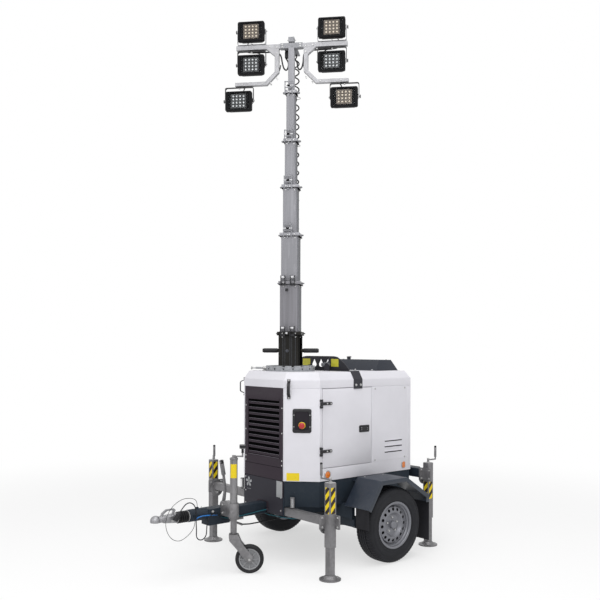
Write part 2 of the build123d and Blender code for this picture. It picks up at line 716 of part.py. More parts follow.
# Emergency stop: a framed recess on the left facet with its mushroom button
facet_middle_x = ahead(canopy_front_ahead) - (canopy_half - front_half) / 2
facet_middle_y = (front_half + canopy_half) / 2
stop_plane = Plane(origin=(facet_middle_x, facet_middle_y, 1121), x_dir=(-1, 1, 0), z_dir=(1, 1, 0))
stop_button_drop = 35
with BuildPart() as stop:
    with BuildSketch(stop_plane):
        RectangleRounded(146, 186, 16)
    extrude(amount=6)
    with BuildSketch(stop_plane):
        with Locations((0, -stop_button_drop)):
            Circle(24)
    extrude(amount=22)
    with BuildSketch(stop_plane.offset(20)):
        with Locations((0, -stop_button_drop)):
            Circle(30)
    extrude(amount=14)
stop.part.label = "stop_button"
export_step(stop.part, "parts/stop_button.step")

# Grab handles: bent bars across the roof seam on both facets
handle_bottom = 1305
handle_top = 1425
handle_out = 36
with BuildPart() as handles:
    for side in (1, -1):
        foot_x = ahead(canopy_front_ahead) - 25
        foot_y = side * (front_half + 25)
        for z in (handle_bottom, handle_top):
            with BuildSketch(Plane(origin=(foot_x, foot_y, z), x_dir=(-1, side, 0), z_dir=(1, side, 0))):
                RectangleRounded(22, 14, 3)
            extrude(amount=handle_out + 6)
        with BuildSketch(Plane(origin=(foot_x + handle_out / sqrt(2), foot_y + side * handle_out / sqrt(2),
                                       handle_bottom - 6), x_dir=(-1, side, 0), z_dir=(0, 0, 1))):
            Rectangle(22, 12)
        extrude(amount=handle_top - handle_bottom + 12)
handles.part.label = "grab_handles"
export_step(handles.part, "parts/grab_handles.step")

# Road lights: reflectors below the doors, round in front and oval behind, and the two rear lamps
reflector_z = 701
with BuildPart() as road_lights:
    for side in (1, -1):
        for distance, half_length in ((454, 29), (-409, 22)):
            with BuildSketch(Plane(origin=(ahead(distance), side * canopy_half, reflector_z), x_dir=(1, 0, 0),
                                   z_dir=(0, side, 0))):
                Ellipse(half_length, 30)
            extrude(amount=9)
        light_x = rear_jack_x - sleeve_half_x
        block(light_x - 38, light_x, side * (rail_half - 90), side * (rail_half + 90), rear_arm_z - 38,
              rear_arm_z + 38)
road_lights.part.label = "road_lights"
export_step(road_lights.part, "parts/road_lights.step")

# Drawbar: a square tube from the front cross member to the overrun housing
with BuildPart() as drawbar:
    with BuildSketch(Plane(origin=(ahead(canopy_front_ahead), 0, drawbar_z), x_dir=(0, 1, 0),
                           z_dir=(1, 0, 0))):
        RectangleRounded(drawbar_size, drawbar_size, 8)
        RectangleRounded(drawbar_size - 10, drawbar_size - 10, 4, mode=Mode.SUBTRACT)
    extrude(amount=housing_rear_ahead - canopy_front_ahead)
drawbar.part.label = "drawbar"
export_step(drawbar.part, "parts/drawbar.step")

# Overrun housing: the casting that guides the coupling's shaft, with the lug that carries the brake
# lever, and the stud and the clip that hold the two ends of the breakaway cable
lug_z = 486
lug_r = 26
housing_barrel_r = 46
stud_ahead = coupling_ahead - 391
clip_ahead = coupling_ahead - 339
cable_clip_bottom = 424
stud_top = 492
with BuildPart() as housing:
    barrel_rear = housing_rear_ahead + housing_box_length
    block(ahead(housing_rear_ahead), ahead(barrel_rear), -housing_half, housing_half, housing_bottom,
          housing_top)
    for barrel_ahead, barrel_r, barrel_front in (
        (barrel_rear, housing_barrel_r, housing_front_ahead),
        (housing_front_ahead, shaft_r, gaiter_front_ahead),
    ):
        with BuildSketch(Plane(origin=(ahead(barrel_ahead), 0, coupling_z), x_dir=(0, 1, 0),
                               z_dir=(1, 0, 0))):
            Circle(barrel_r)
        extrude(amount=barrel_front - barrel_ahead)
    with BuildSketch(Plane(origin=(ahead(housing_rear_ahead + 22), 0, lug_z), x_dir=(1, 0, 0),
                           z_dir=(0, -1, 0))):
        Circle(lug_r)
    extrude(amount=14, both=True)
    block(ahead(stud_ahead) - 8, ahead(stud_ahead) + 8, -8, 8, coupling_z + housing_barrel_r - 8, stud_top)
    block(ahead(clip_ahead) - 10, ahead(clip_ahead) + 10, housing_barrel_r - 6, housing_barrel_r + 15,
          cable_clip_bottom, cable_clip_bottom + 24)
housing.part.label = "overrun_housing"
export_step(housing.part, "parts/overrun_housing.step")

# Gaiter: a ribbed rubber sleeve round the sliding shaft
gaiter_fold_count = 5
with BuildPart() as gaiter:
    rear = housing_front_ahead + slide_gap
    fold = (gaiter_front_ahead - slide_gap - rear) / gaiter_fold_count
    crest = []
    for i in range(gaiter_fold_count):
        crest += [(ahead(rear + i * fold), gaiter_r - 10), (ahead(rear + (i + 0.5) * fold), gaiter_r)]
    crest += [(ahead(gaiter_front_ahead - slide_gap), gaiter_r - 10)]
    with BuildSketch(Plane(origin=(0, 0, coupling_z), x_dir=(1, 0, 0), z_dir=(0, -1, 0))):
        with BuildLine():
            Polyline(*crest, (ahead(gaiter_front_ahead - slide_gap), shaft_r + slide_gap),
                     (ahead(rear), shaft_r + slide_gap), close=True)
        make_face()
    revolve(axis=Axis((0, 0, coupling_z), (1, 0, 0)))
gaiter.part.label = "overrun_gaiter"
export_step(gaiter.part, "parts/overrun_gaiter.step")

# Coupling head: a cast cup for the tow ball with its lifting handle, and the parking bracket that
# holds the trailer plug
cup_wall = 12.3
cup_ahead = coupling_ahead - ball_r - cup_wall
handle_outline = (
    # behind the coupling's tip, height
    (185, 460), (201, 496), (189, 508), (125, 508), (89, 484), (77, 452), (89, 450), (101, 478), (131, 497),
    (185, 497), (171, 460),
)
plug_ahead = coupling_ahead - 179
plug_y = 72
plug_z = 462
plug_dir = (-0.6, 0, 0.8)
with BuildPart() as coupling:
    with BuildSketch(Plane(origin=(ahead(gaiter_front_ahead), 0, coupling_z), x_dir=(0, 1, 0),
                           z_dir=(1, 0, 0))):
        RectangleRounded(72, 66, 12)
    with BuildSketch(Plane(origin=(ahead(cup_ahead - 20), 0, coupling_z + 4), x_dir=(0, 1, 0),
                           z_dir=(1, 0, 0))):
        RectangleRounded(60, 44, 12)
    loft()
    with Locations((ahead(cup_ahead), 0, coupling_z)):
        Sphere(ball_r + cup_wall)
    block(ahead(cup_ahead - 60), ahead(coupling_ahead + 1), -60, 60, coupling_z - 60, coupling_z - 12,
          mode=Mode.SUBTRACT)
    with Locations((ahead(cup_ahead), 0, coupling_z)):
        Sphere(ball_r + slide_gap, mode=Mode.SUBTRACT)
    with BuildSketch(Plane(origin=(ahead(cup_ahead), 0, coupling_z), z_dir=(0, 0, -1))):
        Circle(ball_r + slide_gap)
    extrude(amount=40, mode=Mode.SUBTRACT)
    with BuildSketch(Plane(origin=(0, 9, 0), x_dir=(1, 0, 0), z_dir=(0, -1, 0))):
        with BuildLine():
            Polyline(*[(ahead(coupling_ahead - behind), z) for behind, z in handle_outline], close=True)
        make_face()
    extrude(amount=18)
    block(ahead(plug_ahead) - 8, ahead(plug_ahead) + 8, 30, plug_y - plug_r - slide_gap, plug_z - 22,
          plug_z + 8)
coupling.part.label = "coupling_head"
export_step(coupling.part, "parts/coupling_head.step")

# Drawbar fittings: the handbrake lever on the housing's lug, a flat bar with a grip, and the clamp on
# the housing's left side that grips the jockey tube
lever_outline = (
    # ahead of the housing's rear end, height
    (9, lug_z + lug_r + 0.4), (-1, 600), (19, 725), (35, 722), (17, 600), (35, lug_z + lug_r + 0.4),
)
lever_grip_length = 112
clamp_low = 418
clamp_high = 521
clamp_rim = 12
jockey_x = ahead(jockey_ahead)
with BuildPart() as fittings:
    with BuildSketch(Plane(origin=(0, 7, 0), x_dir=(1, 0, 0), z_dir=(0, -1, 0))):
        with BuildLine():
            Polyline(*[(ahead(housing_rear_ahead + forward), z) for forward, z in lever_outline], close=True)
        make_face()
    extrude(amount=14)
    with BuildSketch(Plane(origin=(ahead(housing_rear_ahead + 24), 0, 712), x_dir=(0, 1, 0),
                           z_dir=(0.2, 0, 1))):
        RectangleRounded(26, 32, 10)
    extrude(amount=lever_grip_length)
    block(jockey_x - 40, jockey_x + 34, housing_half, jockey_y, clamp_low, clamp_high)
    with BuildSketch(Plane(origin=(jockey_x, jockey_y, clamp_low), z_dir=(0, 0, 1))):
        Circle(jockey_tube_r + clamp_rim)
    extrude(amount=clamp_high - clamp_low)
    with BuildSketch(Plane(origin=(jockey_x, jockey_y, clamp_low), z_dir=(0, 0, 1))):
        Circle(jockey_tube_r + pin_gap)
    extrude(amount=clamp_high - clamp_low, mode=Mode.SUBTRACT)
fittings.part.label = "drawbar_fittings"
export_step(fittings.part, "parts/drawbar_fittings.step")

# Jockey tube: the outer tube with its bottom flange, top cap and crank
crank_dir = (-50, 42, 0)
crank_reach = hypot(crank_dir[0], crank_dir[1])
crank_x, crank_y = jockey_x + crank_dir[0], jockey_y + crank_dir[1]
with BuildPart() as jockey_tube:
    for ring_z, ring_radius, ring_length in (
        (jockey_tube_bottom, jockey_tube_r, jockey_tube_top - jockey_tube_bottom),
        (jockey_tube_bottom, jockey_tube_r + 8, 9),
        (jockey_tube_top, 13, 28),
    ):
        with BuildSketch(Plane(origin=(jockey_x, jockey_y, ring_z), z_dir=(0, 0, 1))):
            Circle(ring_radius)
        extrude(amount=ring_length)
    with BuildSketch(Plane(origin=(jockey_x, jockey_y, jockey_tube_bottom), z_dir=(0, 0, 1))):
        Circle(jockey_leg_r + slide_gap)
    extrude(amount=jockey_tube_top - jockey_tube_bottom - 8, mode=Mode.SUBTRACT)
    with BuildSketch(Plane(origin=(jockey_x, jockey_y, jockey_tube_top + 20), x_dir=(0, 0, 1),
                           z_dir=crank_dir)):
        Circle(crank_rod_r)
    extrude(amount=crank_reach)
    with BuildSketch(Plane(origin=(crank_x, crank_y, jockey_tube_top + 14), z_dir=(0, 0, 1))):
        Circle(crank_rod_r)
    extrude(amount=70)
    with BuildSketch(Plane(origin=(crank_x, crank_y, jockey_tube_top + 78), x_dir=crank_dir,
                           z_dir=(0, 0, 1))):
        RectangleRounded(46, 26, 10)
    extrude(amount=30)
jockey_tube.part.label = "jockey_tube"
export_step(jockey_tube.part, "parts/jockey_tube.step")

# Jockey leg: the inner tube with the headed stud that the castor turns on
fork_top = jockey_leg_bottom - slide_gap
fork_bottom = fork_top - 28
stud_r = 9
stud_head = 14
with BuildPart() as jockey_leg:
    for ring_z, ring_radius, ring_length in (
        (jockey_leg_bottom, jockey_leg_r, jockey_leg_top - jockey_leg_bottom),
        (fork_bottom - stud_head, stud_r, jockey_leg_bottom - fork_bottom + stud_head),
        (fork_bottom - stud_head, stud_r + 6, stud_head - slide_gap),
    ):
        with BuildSketch(Plane(origin=(jockey_x, jockey_y, ring_z), z_dir=(0, 0, 1))):
            Circle(ring_radius)
        extrude(amount=ring_length)
jockey_leg.part.label = "jockey_leg"
export_step(jockey_leg.part, "parts/jockey_leg.step")

# Jockey fork: a head on the stud and two plates down to the wheel's axle
trail_turn = radians(jockey_wheel_turn)
trail_dir = (cos(trail_turn), sin(trail_turn), 0)
cross_dir = (-sin(trail_turn), cos(trail_turn), 0)
fork_inside = jockey_wheel_width / 2 + 5
fork_plate = 5
wheel_place = (jockey_x + jockey_trail * trail_dir[0], jockey_y + jockey_trail * trail_dir[1], jockey_wheel_r)
fork_outline = (
    # along the trail, height
    (-34, fork_top), (34, fork_top), (58, 236), (146, 128), (138, 86), (106, 82), (20, 190), (-30, 246),
)
with BuildPart() as fork:
    with BuildSketch(Plane(origin=(jockey_x, jockey_y, fork_bottom), x_dir=trail_dir, z_dir=(0, 0, 1))):
        RectangleRounded(68, 2 * (fork_inside + fork_plate), 12)
        Circle(stud_r + pin_gap, mode=Mode.SUBTRACT)
    extrude(amount=fork_top - fork_bottom)
    cross_plane = Plane(origin=(jockey_x, jockey_y, 0), x_dir=trail_dir,
                        z_dir=(-cross_dir[0], -cross_dir[1], 0))
    for shift in (fork_inside, -fork_inside - fork_plate):
        with BuildSketch(cross_plane.offset(shift)):
            with BuildLine():
                Polyline(*fork_outline, close=True)
            make_face()
        extrude(amount=fork_plate)
    with BuildSketch(cross_plane.offset(-fork_inside - fork_plate - 6)):
        with Locations((jockey_trail, jockey_wheel_r)):
            Circle(jockey_axle_r)
    extrude(amount=2 * (fork_inside + fork_plate + 6))
fork.part.label = "jockey_fork"
export_step(fork.part, "parts/jockey_fork.step")

# Jockey wheel: a solid rubber tread on a spoked hub
with BuildPart() as jockey_wheel:
    half = jockey_wheel_width / 2
    with BuildSketch(Plane(origin=wheel_place, x_dir=cross_dir, z_dir=trail_dir)):
        with BuildLine():
            Polyline(
                (-half, jockey_axle_r + pin_gap), (-half, 24), (-9, 30), (-7, 78), (-half + 4, 84),
                (-half, 90),
                (-half, 99), (-half + 10, jockey_wheel_r), (half - 10, jockey_wheel_r), (half, 99),
                (half, 90),
                (half - 4, 84), (7, 78), (9, 30), (half, 24), (half, jockey_axle_r + pin_gap), close=True,
            )
        make_face()
    revolve(axis=Axis(wheel_place, cross_dir))
jockey_wheel.part.label = "jockey_wheel"
export_step(jockey_wheel.part, "parts/jockey_wheel.step")

# Mast: square tubes one inside the other, each with a collar that guides the next
# and a pad ring at its foot
turn = radians(mast_turn)
mast_front = (cos(turn), sin(turn), 0)
mast_across = (-sin(turn), cos(turn), 0)
mast_sections = (
    # width, top height
    (173, mast_foot_top),
    (155, 2226),
    (140, 2620),
    (116, 3014),
    (92, 3391),
    (72, 3789),
    (50, bar_top - bar_size),
)


shelf_sheet = 10
shelf_back = 33


def mast_plane(z):
    return Plane(origin=(mast_x, 0, z), x_dir=mast_front, z_dir=(0, 0, 1))


for i, (width, top) in enumerate(mast_sections):
    bottom = mast_base if i == 0 else top - section_length
    bore = width - 2 * mast_wall
    with BuildPart() as section:
        with BuildSketch(mast_plane(bottom)):
            RectangleRounded(width, width, 5)
            Rectangle(bore, bore, mode=Mode.SUBTRACT)
        extrude(amount=top - bottom)
        if i < len(mast_sections) - 1:
            guide = mast_sections[i + 1][0] + 2 * slide_gap
            with BuildSketch(mast_plane(top - collar_height)):
                RectangleRounded(width + 2 * collar_rim, width + 2 * collar_rim, 6)
                Rectangle(guide, guide, mode=Mode.SUBTRACT)
            extrude(amount=collar_height)
        if i > 0:
            pad = mast_sections[i - 1][0] - 2 * mast_wall - 2 * slide_gap
            with BuildSketch(mast_plane(bottom)):
                Rectangle(pad, pad)
                Rectangle(bore, bore, mode=Mode.SUBTRACT)
            extrude(amount=40)
        else:
            with BuildSketch(mast_plane(bottom)):
                Circle(118)
            extrude(amount=12)
            with BuildSketch(mast_plane(roof_top + 2)):
                Circle(mast_hole_r - slide_gap)
                Rectangle(bore, bore, mode=Mode.SUBTRACT)
            extrude(amount=ring_height - 15)
            for across in (1, -1):
                start = mast_plane(handle_z).from_local_coords((0, across * (width / 2 - 1), 0))
                with BuildSketch(Plane(origin=start, x_dir=(0, 0, 1),
                                       z_dir=tuple(across * c for c in mast_across))):
                    Circle(handle_r)
                extrude(amount=handle_reach - width / 2 + 1)
            # Shelf behind the collar that holds the curly cable's lower end
            with BuildSketch(mast_plane(mast_cable_low - slide_gap - shelf_sheet)):
                with Locations(((mast_cable_back - shelf_back - width / 2 - collar_rim + 2) / 2,
                                mast_cable_across)):
                    Rectangle(shelf_back - mast_cable_back - width / 2 - collar_rim + 2, 56)
            extrude(amount=shelf_sheet)
    section.part.label = f"mast_section_{i}"
    export_step(section.part, f"parts/mast_section_{i}.step")

# Lamp frame: a crossbar on the last section with two cranked side brackets and six lamp yokes
lamp_places = (
    # name, across, height of the lamp's pins, height of the face that its yoke is bolted to
    ("top_left", upper_lamp_u, bar_top + lamp_standoff, bar_top),
    ("top_right", -upper_lamp_u, bar_top + lamp_standoff, bar_top),
    ("middle_left", upper_lamp_u, bar_top - bar_size - lamp_standoff, bar_top - bar_size),
    ("middle_right", -upper_lamp_u, bar_top - bar_size - lamp_standoff, bar_top - bar_size),
    ("bottom_left", lower_lamp_u, bar_top - frame_drop - lamp_standoff, bar_top - frame_drop),
    ("bottom_right", -lower_lamp_u, bar_top - frame_drop - lamp_standoff, bar_top - frame_drop),
)
shelf_low = bar_top - frame_drop
shelf_high = shelf_low + frame_shelf_height
yoke_half = lamp_width / 2 + yoke_gap
bar_low = bar_top - bar_size


def face_plane(depth):
    # Drawn seen from the lamps' front: x runs across, y runs up
    return Plane(origin=(mast_x + depth * mast_front[0], depth * mast_front[1], 0), x_dir=mast_across,
                 z_dir=mast_front)


with BuildPart() as lamp_frame:
    with BuildSketch(face_plane(-bar_size / 2)):
        with Locations((0, bar_top - bar_size / 2)):
            Rectangle(2 * bar_half, bar_size)
    extrude(amount=bar_size)
    with BuildSketch(face_plane(-28)):
        with Locations((0, bar_top - bar_size / 2 + 6)):
            Rectangle(184, bar_size + 12)
        with Locations((0, bar_top + 25)):
            Rectangle(48, 52)
    extrude(amount=56)
    for side in (1, -1):
        leg_in = frame_leg_u - frame_leg_size / 2
        leg_out = frame_leg_u + frame_leg_size / 2
        with BuildSketch(face_plane(-frame_leg_size / 2)):
            with BuildLine():
                Polyline(
                    (side * leg_in, bar_top - 2), (side * leg_in, shelf_low + 100),
                    (side * (leg_in + 100), shelf_low),
                    (side * frame_shelf_half, shelf_low), (side * frame_shelf_half, shelf_high),
                    (side * (leg_out + 78), shelf_high), (side * leg_out, shelf_high + 78),
                    (side * leg_out, bar_low - 58), (side * (leg_out + 68), bar_low),
                    (side * (leg_out + 68), bar_top - 2), close=True,
                )
            make_face()
        extrude(amount=frame_leg_size)
    for name, across, pin_z, seat_z in lamp_places:
        up = 1 if pin_z > seat_z else -1
        with BuildSketch(face_plane(-yoke_strap_width / 2)):
            with BuildLine():
                strap_in, strap_out = yoke_half, yoke_half + yoke_strap
                base_near, base_far = seat_z + up * 6, seat_z + up * (6 + yoke_strap)
                Polyline(
                    (across - strap_out + 14, base_near), (across - strap_out, base_near + up * 14),
                    (across - strap_out, pin_z + up * 14), (across - strap_in, pin_z + up * 14),
                    (across - strap_in, base_far + up * 10), (across - strap_in + 10, base_far),
                    (across + strap_in - 10, base_far), (across + strap_in, base_far + up * 10),
                    (across + strap_in, pin_z + up * 14), (across + strap_out, pin_z + up * 14),
                    (across + strap_out, base_near + up * 14), (across + strap_out - 14, base_near),
                    close=True,
                )
            make_face()
        extrude(amount=yoke_strap_width)
        with BuildSketch(mast_plane(seat_z if up > 0 else seat_z - 7)):
            with Locations((0, across)):
                Circle(14)
        extrude(amount=7)
        for side in (1, -1):
            origin = mast_plane(pin_z).from_local_coords((0, across + side * (lamp_width / 2 - 12), 0))
            with BuildSketch(Plane(origin=origin, x_dir=(0, 0, 1),
                                   z_dir=tuple(side * c for c in mast_across))):
                Circle(lamp_pin_r)
            extrude(amount=yoke_gap + 13)
            origin = mast_plane(pin_z).from_local_coords((0, across + side * yoke_half, 0))
            with BuildSketch(Plane(origin=origin, x_dir=(0, 0, 1),
                                   z_dir=tuple(side * c for c in mast_across))):
                Circle(knob_r)
            extrude(amount=yoke_strap + 8)
    # Shelf behind the crossbar that holds the curly cable's upper end
    with BuildSketch(mast_plane(bar_low - 2)):
        with Locations(((mast_cable_back - shelf_back - 27) / 2, mast_cable_across)):
            Rectangle(shelf_back - mast_cable_back - 27, 56)
    extrude(amount=12)
lamp_frame.part.label = "lamp_frame"
export_step(lamp_frame.part, "parts/lamp_frame.step")

# Floodlights: cast housings with a glazed recess, each tilting on its yoke's pins
for name, across, pin_z, seat_z in lamp_places:
    with BuildPart() as lamp:
        with BuildSketch(face_plane(lamp_depth / 2 - lamp_rim_depth)):
            with Locations((across, pin_z)):
                RectangleRounded(lamp_width, lamp_height, 14)
        extrude(amount=lamp_rim_depth)
        with BuildSketch(face_plane(-lamp_depth / 2)):
            with Locations((across, pin_z)):
                RectangleRounded(lamp_width - 40, lamp_height - 34, 10)
        extrude(amount=lamp_depth - lamp_rim_depth + 1)
        with BuildSketch(face_plane(-14)):
            with Locations((across, pin_z)):
                Rectangle(lamp_width, 44)
        extrude(amount=28)
        with BuildSketch(face_plane(lamp_depth / 2 - 5)):
            with Locations((across, pin_z)):
                RectangleRounded(lamp_width - 2 * lamp_bezel, lamp_height - 2 * lamp_bezel, 6)
        extrude(amount=6, mode=Mode.SUBTRACT)
        for side in (1, -1):
            origin = mast_plane(pin_z).from_local_coords((0, across + side * (lamp_width / 2 - 13), 0))
            with BuildSketch(Plane(origin=origin, x_dir=(0, 0, 1),
                                   z_dir=tuple(side * c for c in mast_across))):
                Circle(lamp_pin_r + pin_gap)
            extrude(amount=14, mode=Mode.SUBTRACT)
    lamp.part.label = f"lamp_{name}"
    export_step(lamp.part, f"parts/lamp_{name}.step")

# Mast cable: the outside of a curly cable that stretches between its two shelves
with BuildPart() as mast_cable:
    with BuildSketch(mast_plane(mast_cable_low)):
        with Locations((mast_cable_back, mast_cable_across)):
            Circle(mast_cable_r)
    extrude(amount=bar_low - 2 - slide_gap - mast_cable_low)
mast_cable.part.label = "mast_cable"
export_step(mast_cable.part, "parts/mast_cable.step")

# Trailer plug: parked in its bracket beside the coupling
plug_centre = (ahead(plug_ahead), plug_y, plug_z)
with BuildPart() as plug:
    with BuildSketch(Plane(origin=plug_centre, z_dir=plug_dir)):
        Circle(plug_r)
    extrude(amount=plug_length / 2, both=True)
plug.part.label = "trailer_plug"
export_step(plug.part, "parts/trailer_plug.step")

# Drawbar cables: the breakaway cable looped below the coupling, and the lighting cable from its plug
# along the drawbar into the front panel
bar_rear = canopy_front_ahead
bar_run = housing_rear_ahead - canopy_front_ahead
plug_top = [centre + plug_length / 2 * part for centre, part in zip(plug_centre, plug_dir)]
breakaway_points = (
    # behind the coupling's tip, left, height
    (391, 0, 492), (391, 0, 516), (375, 9, 546), (341, 20, 564), (297, 32, 573), (250, 34, 575),
    (199, 36, 558),
    (152, 38, 527), (115, 43, 484), (93, 50, 432), (93, 56, 377), (115, 60, 325), (154, 62, 289),
    (205, 62, 276),
    (255, 62, 295), (305, 59, 328), (339, 54, 374), (339, 54, 424),
)
lighting_points = (
    # behind the coupling's tip, left, height
    (236, 72, 537.6), (280.5, 71.5, 552), (320, 71, 529), (337, 70, 487), (338, 68, 440), (340, 67, 385),
    (344, 66, 335), (343, 64, 285), (370, 62, 258), (408, 60, 258), (435, 59, 285), (437, 60, 335),
    (441, 61, 385),
    (454, 62, 420), (487, 62, 437), (532, 62, 430), (572, 60, 402), (617, 58, 388),
)
drawbar_points = (
    # share of the drawbar's length, left, height
    (0.93, 56, 390), (0.735, 53, 386), (0.525, 54, 392), (0.316, 56, 398), (0.162, 60, 404),
    (gland_share, gland_y, gland_z),
)
cords = (
    ("breakaway_cable", 2, [(ahead(coupling_ahead - behind), y, z) for behind, y, z in breakaway_points]),
    ("trailer_cable", 4,
     [tuple(plug_top)] + [(ahead(coupling_ahead - behind), y, z) for behind, y, z in lighting_points]
     + [(ahead(bar_rear + share * bar_run), y, z) for share, y, z in drawbar_points]),
)
for name, cord_r, points in cords:
    radii = []
    for before, corner, after in zip(points, points[1:], points[2:]):
        arriving = Vector(*corner) - Vector(*before)
        leaving = Vector(*after) - Vector(*corner)
        half_turn = radians(arriving.get_angle(leaving)) / 2
        radii.append(0.45 * min(arriving.length, leaving.length) / tan(half_turn))
    with BuildPart() as cord:
        with BuildLine() as route:
            FilletPolyline(*points, radius=radii)
        with BuildSketch(Plane(origin=points[0], z_dir=Vector(*points[1]) - Vector(*points[0]))):
            Circle(cord_r)
        sweep()
    cord.part.label = name
    export_step(cord.part, f"parts/{name}.step")
    length = sum(edge.length for edge in route.edges())
    filled = cord.part.volume / (length * pi * cord_r ** 2)
    print(name, "least bend", round(min(radii), 1), "length", round(length), "volume share", round(filled, 3),
          "radii", [round(r) for r in radii])
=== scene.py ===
import math

import bmesh
import bpy
from mathutils import Matrix, Vector


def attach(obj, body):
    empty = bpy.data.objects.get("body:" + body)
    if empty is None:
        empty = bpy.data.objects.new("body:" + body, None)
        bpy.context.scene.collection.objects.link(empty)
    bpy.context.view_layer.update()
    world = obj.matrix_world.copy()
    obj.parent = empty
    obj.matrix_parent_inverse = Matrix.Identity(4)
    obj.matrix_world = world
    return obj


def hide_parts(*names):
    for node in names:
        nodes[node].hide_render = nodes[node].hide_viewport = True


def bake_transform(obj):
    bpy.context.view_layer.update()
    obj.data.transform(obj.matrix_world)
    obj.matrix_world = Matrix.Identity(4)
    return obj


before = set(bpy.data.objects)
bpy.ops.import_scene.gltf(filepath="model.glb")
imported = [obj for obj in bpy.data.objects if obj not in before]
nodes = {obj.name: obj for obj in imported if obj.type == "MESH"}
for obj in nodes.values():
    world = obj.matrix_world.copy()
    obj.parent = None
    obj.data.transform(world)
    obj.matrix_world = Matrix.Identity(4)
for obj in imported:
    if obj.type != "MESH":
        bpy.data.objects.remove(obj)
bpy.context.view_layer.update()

axle = -0.501

# Camera: it stands ahead of the trailer and to its left, as the photographer did, and looks level. The
# picture's edge is moved up on the sensor, so that the mast stays upright.
def placed(name, data):
    made = bpy.data.objects.new(name, data)
    bpy.context.scene.collection.objects.link(made)
    return made


camera_turn = math.radians(39.95)
focal_pixels, picture_pixels, horizon_row = 782.35, 600, 349.12
camera_data = bpy.data.cameras.new("camera")
camera = placed("camera", camera_data)
looking = Vector((-math.sin(camera_turn), -math.cos(camera_turn), 0))
camera.matrix_world = (
    Matrix.Translation((axle + 4.5147, 4.9731, 1.6746))
    @ Matrix.Rotation(math.radians(-0.2), 4, looking)
    @ looking.to_track_quat("-Z", "Y").to_matrix().to_4x4()
)
camera_data.sensor_width = 36
camera_data.lens = focal_pixels / picture_pixels * 36
camera_data.shift_y = (horizon_row - picture_pixels / 2) / picture_pixels
bpy.context.scene.camera = camera


# Drawbar cables: a thin black wire rope in a plastic sheath, looped below the coupling, that pulls the
# brake if the trailer breaks away, and the rubber lighting lead that runs from its parked plug, round
# the housing and along the drawbar into a gland on the front panel.
class Wire:
    # A socket of a material's node tree. Arithmetic on wires adds Math nodes.
    def __init__(self, tree, socket=None):
        self.tree = tree
        self.socket = socket

    def node(self, kind, settings=None, values=None, out=0):
        made = self.tree.nodes.new("ShaderNode" + kind)
        for key, value in (settings or {}).items():
            setattr(made, key, value)
        for key, value in (values or {}).items():
            if isinstance(value, Wire):
                self.tree.links.new(value.socket, made.inputs[key])
            else:
                made.inputs[key].default_value = value
        return Wire(self.tree, made.outputs[out])

    def maths(self, operation, first, second=0.0):
        return self.node("Math", {"operation": operation}, {0: first, 1: second})

    def __add__(self, other):
        return self.maths("ADD", self, other)

    def __mul__(self, other):
        return self.maths("MULTIPLY", self, other)

    def __sub__(self, other):
        return self.maths("SUBTRACT", self, other)

    def __rsub__(self, other):
        return self.maths("SUBTRACT", other, self)

    __radd__ = __add__
    __rmul__ = __mul__

    def fraction(self):
        return self.node("Math", {"operation": "FRACT"}, {0: self})

    def above(self, level, softness=0.001):
        return self.node("MapRange", {"interpolation_type": "SMOOTHSTEP"},
                         {0: self, 1: level - softness, 2: level + softness})

    def mix(self, low, high):
        return self.node("Mix", {"data_type": "RGBA"}, {0: self, 6: low, 7: high}, out=2)

    def split(self, part):
        return self.node("SeparateXYZ", None, {0: self}, out="XYZ".index(part))


def tone(red, green, blue):
    # A colour written as it looks on screen, 0 to 255, as the shader's linear values
    steps = [c / 255 for c in (red, green, blue)]
    return tuple(c / 12.92 if c < 0.04045 else ((c + 0.055) / 1.055) ** 2.4 for c in steps) + (1.0,)


def shaded(colour, share):
    return tuple(c * share for c in colour[:3]) + (1.0,)


def start(name):
    material = bpy.data.materials.new(name)
    material.use_nodes = True
    return material, Wire(material.node_tree)


def dress(material, **sockets):
    shader = material.node_tree.nodes["Principled BSDF"]
    for key, value in sockets.items():
        target = shader.inputs[key.replace("_", " ")]
        if isinstance(value, Wire):
            material.node_tree.links.new(value.socket, target)
        else:
            target.default_value = value
    return material


def grain(wire, scale, detail=3.0, rough=0.5):
    place = wire.node("TexCoord", out=3)
    return wire.node("TexNoise", None, {"Vector": place, "Scale": scale, "Detail": detail, "Roughness": rough})


def rubber(name, colour, roughness=0.62, depth=0.15):
    # Dusty moulded rubber: mottled, and a little grainy to the touch
    material, wire = start(name)
    dust = grain(wire, 9.0, 5.0)
    fine = grain(wire, 420.0, 2.0)
    bump = wire.node("Bump", None, {"Strength": depth, "Distance": 0.001, "Height": fine + dust * 0.5})
    return dress(
        material,
        Base_Color=dust.above(0.5, 0.25).mix(shaded(colour, 0.8), shaded(colour, 1.25)),
        Roughness=roughness + (fine - 0.5) * 0.2,
        Specular_IOR_Level=0.22,
        Normal=bump,
    )


def spot(ahead, left, up):
    # A place in the row frame, from millimetres ahead of the axle, left of the middle and above the floor
    return Vector((axle + ahead / 1000, left / 1000, up / 1000))


def smooth_line(name, places, resolution):
    # The places are the control points of its spline
    curve = bpy.data.curves.new(name, "CURVE")
    curve.dimensions = "3D"
    spline = curve.splines.new("NURBS")
    spline.points.add(len(places) - 1)
    for point, place in zip(spline.points, places):
        point.co = (*place, 1)
    spline.order_u = 3
    spline.use_endpoint_u = True
    spline.resolution_u = resolution
    return curve


def lead(name, places, radius, material, body):
    # A round cable along a smooth line
    curve = smooth_line(name, places, 10)
    curve.bevel_depth = radius
    curve.bevel_resolution = 3
    curve.use_fill_caps = True
    curve.materials.append(material)
    piece = placed(name, curve)
    if body:
        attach(piece, body)
    return piece


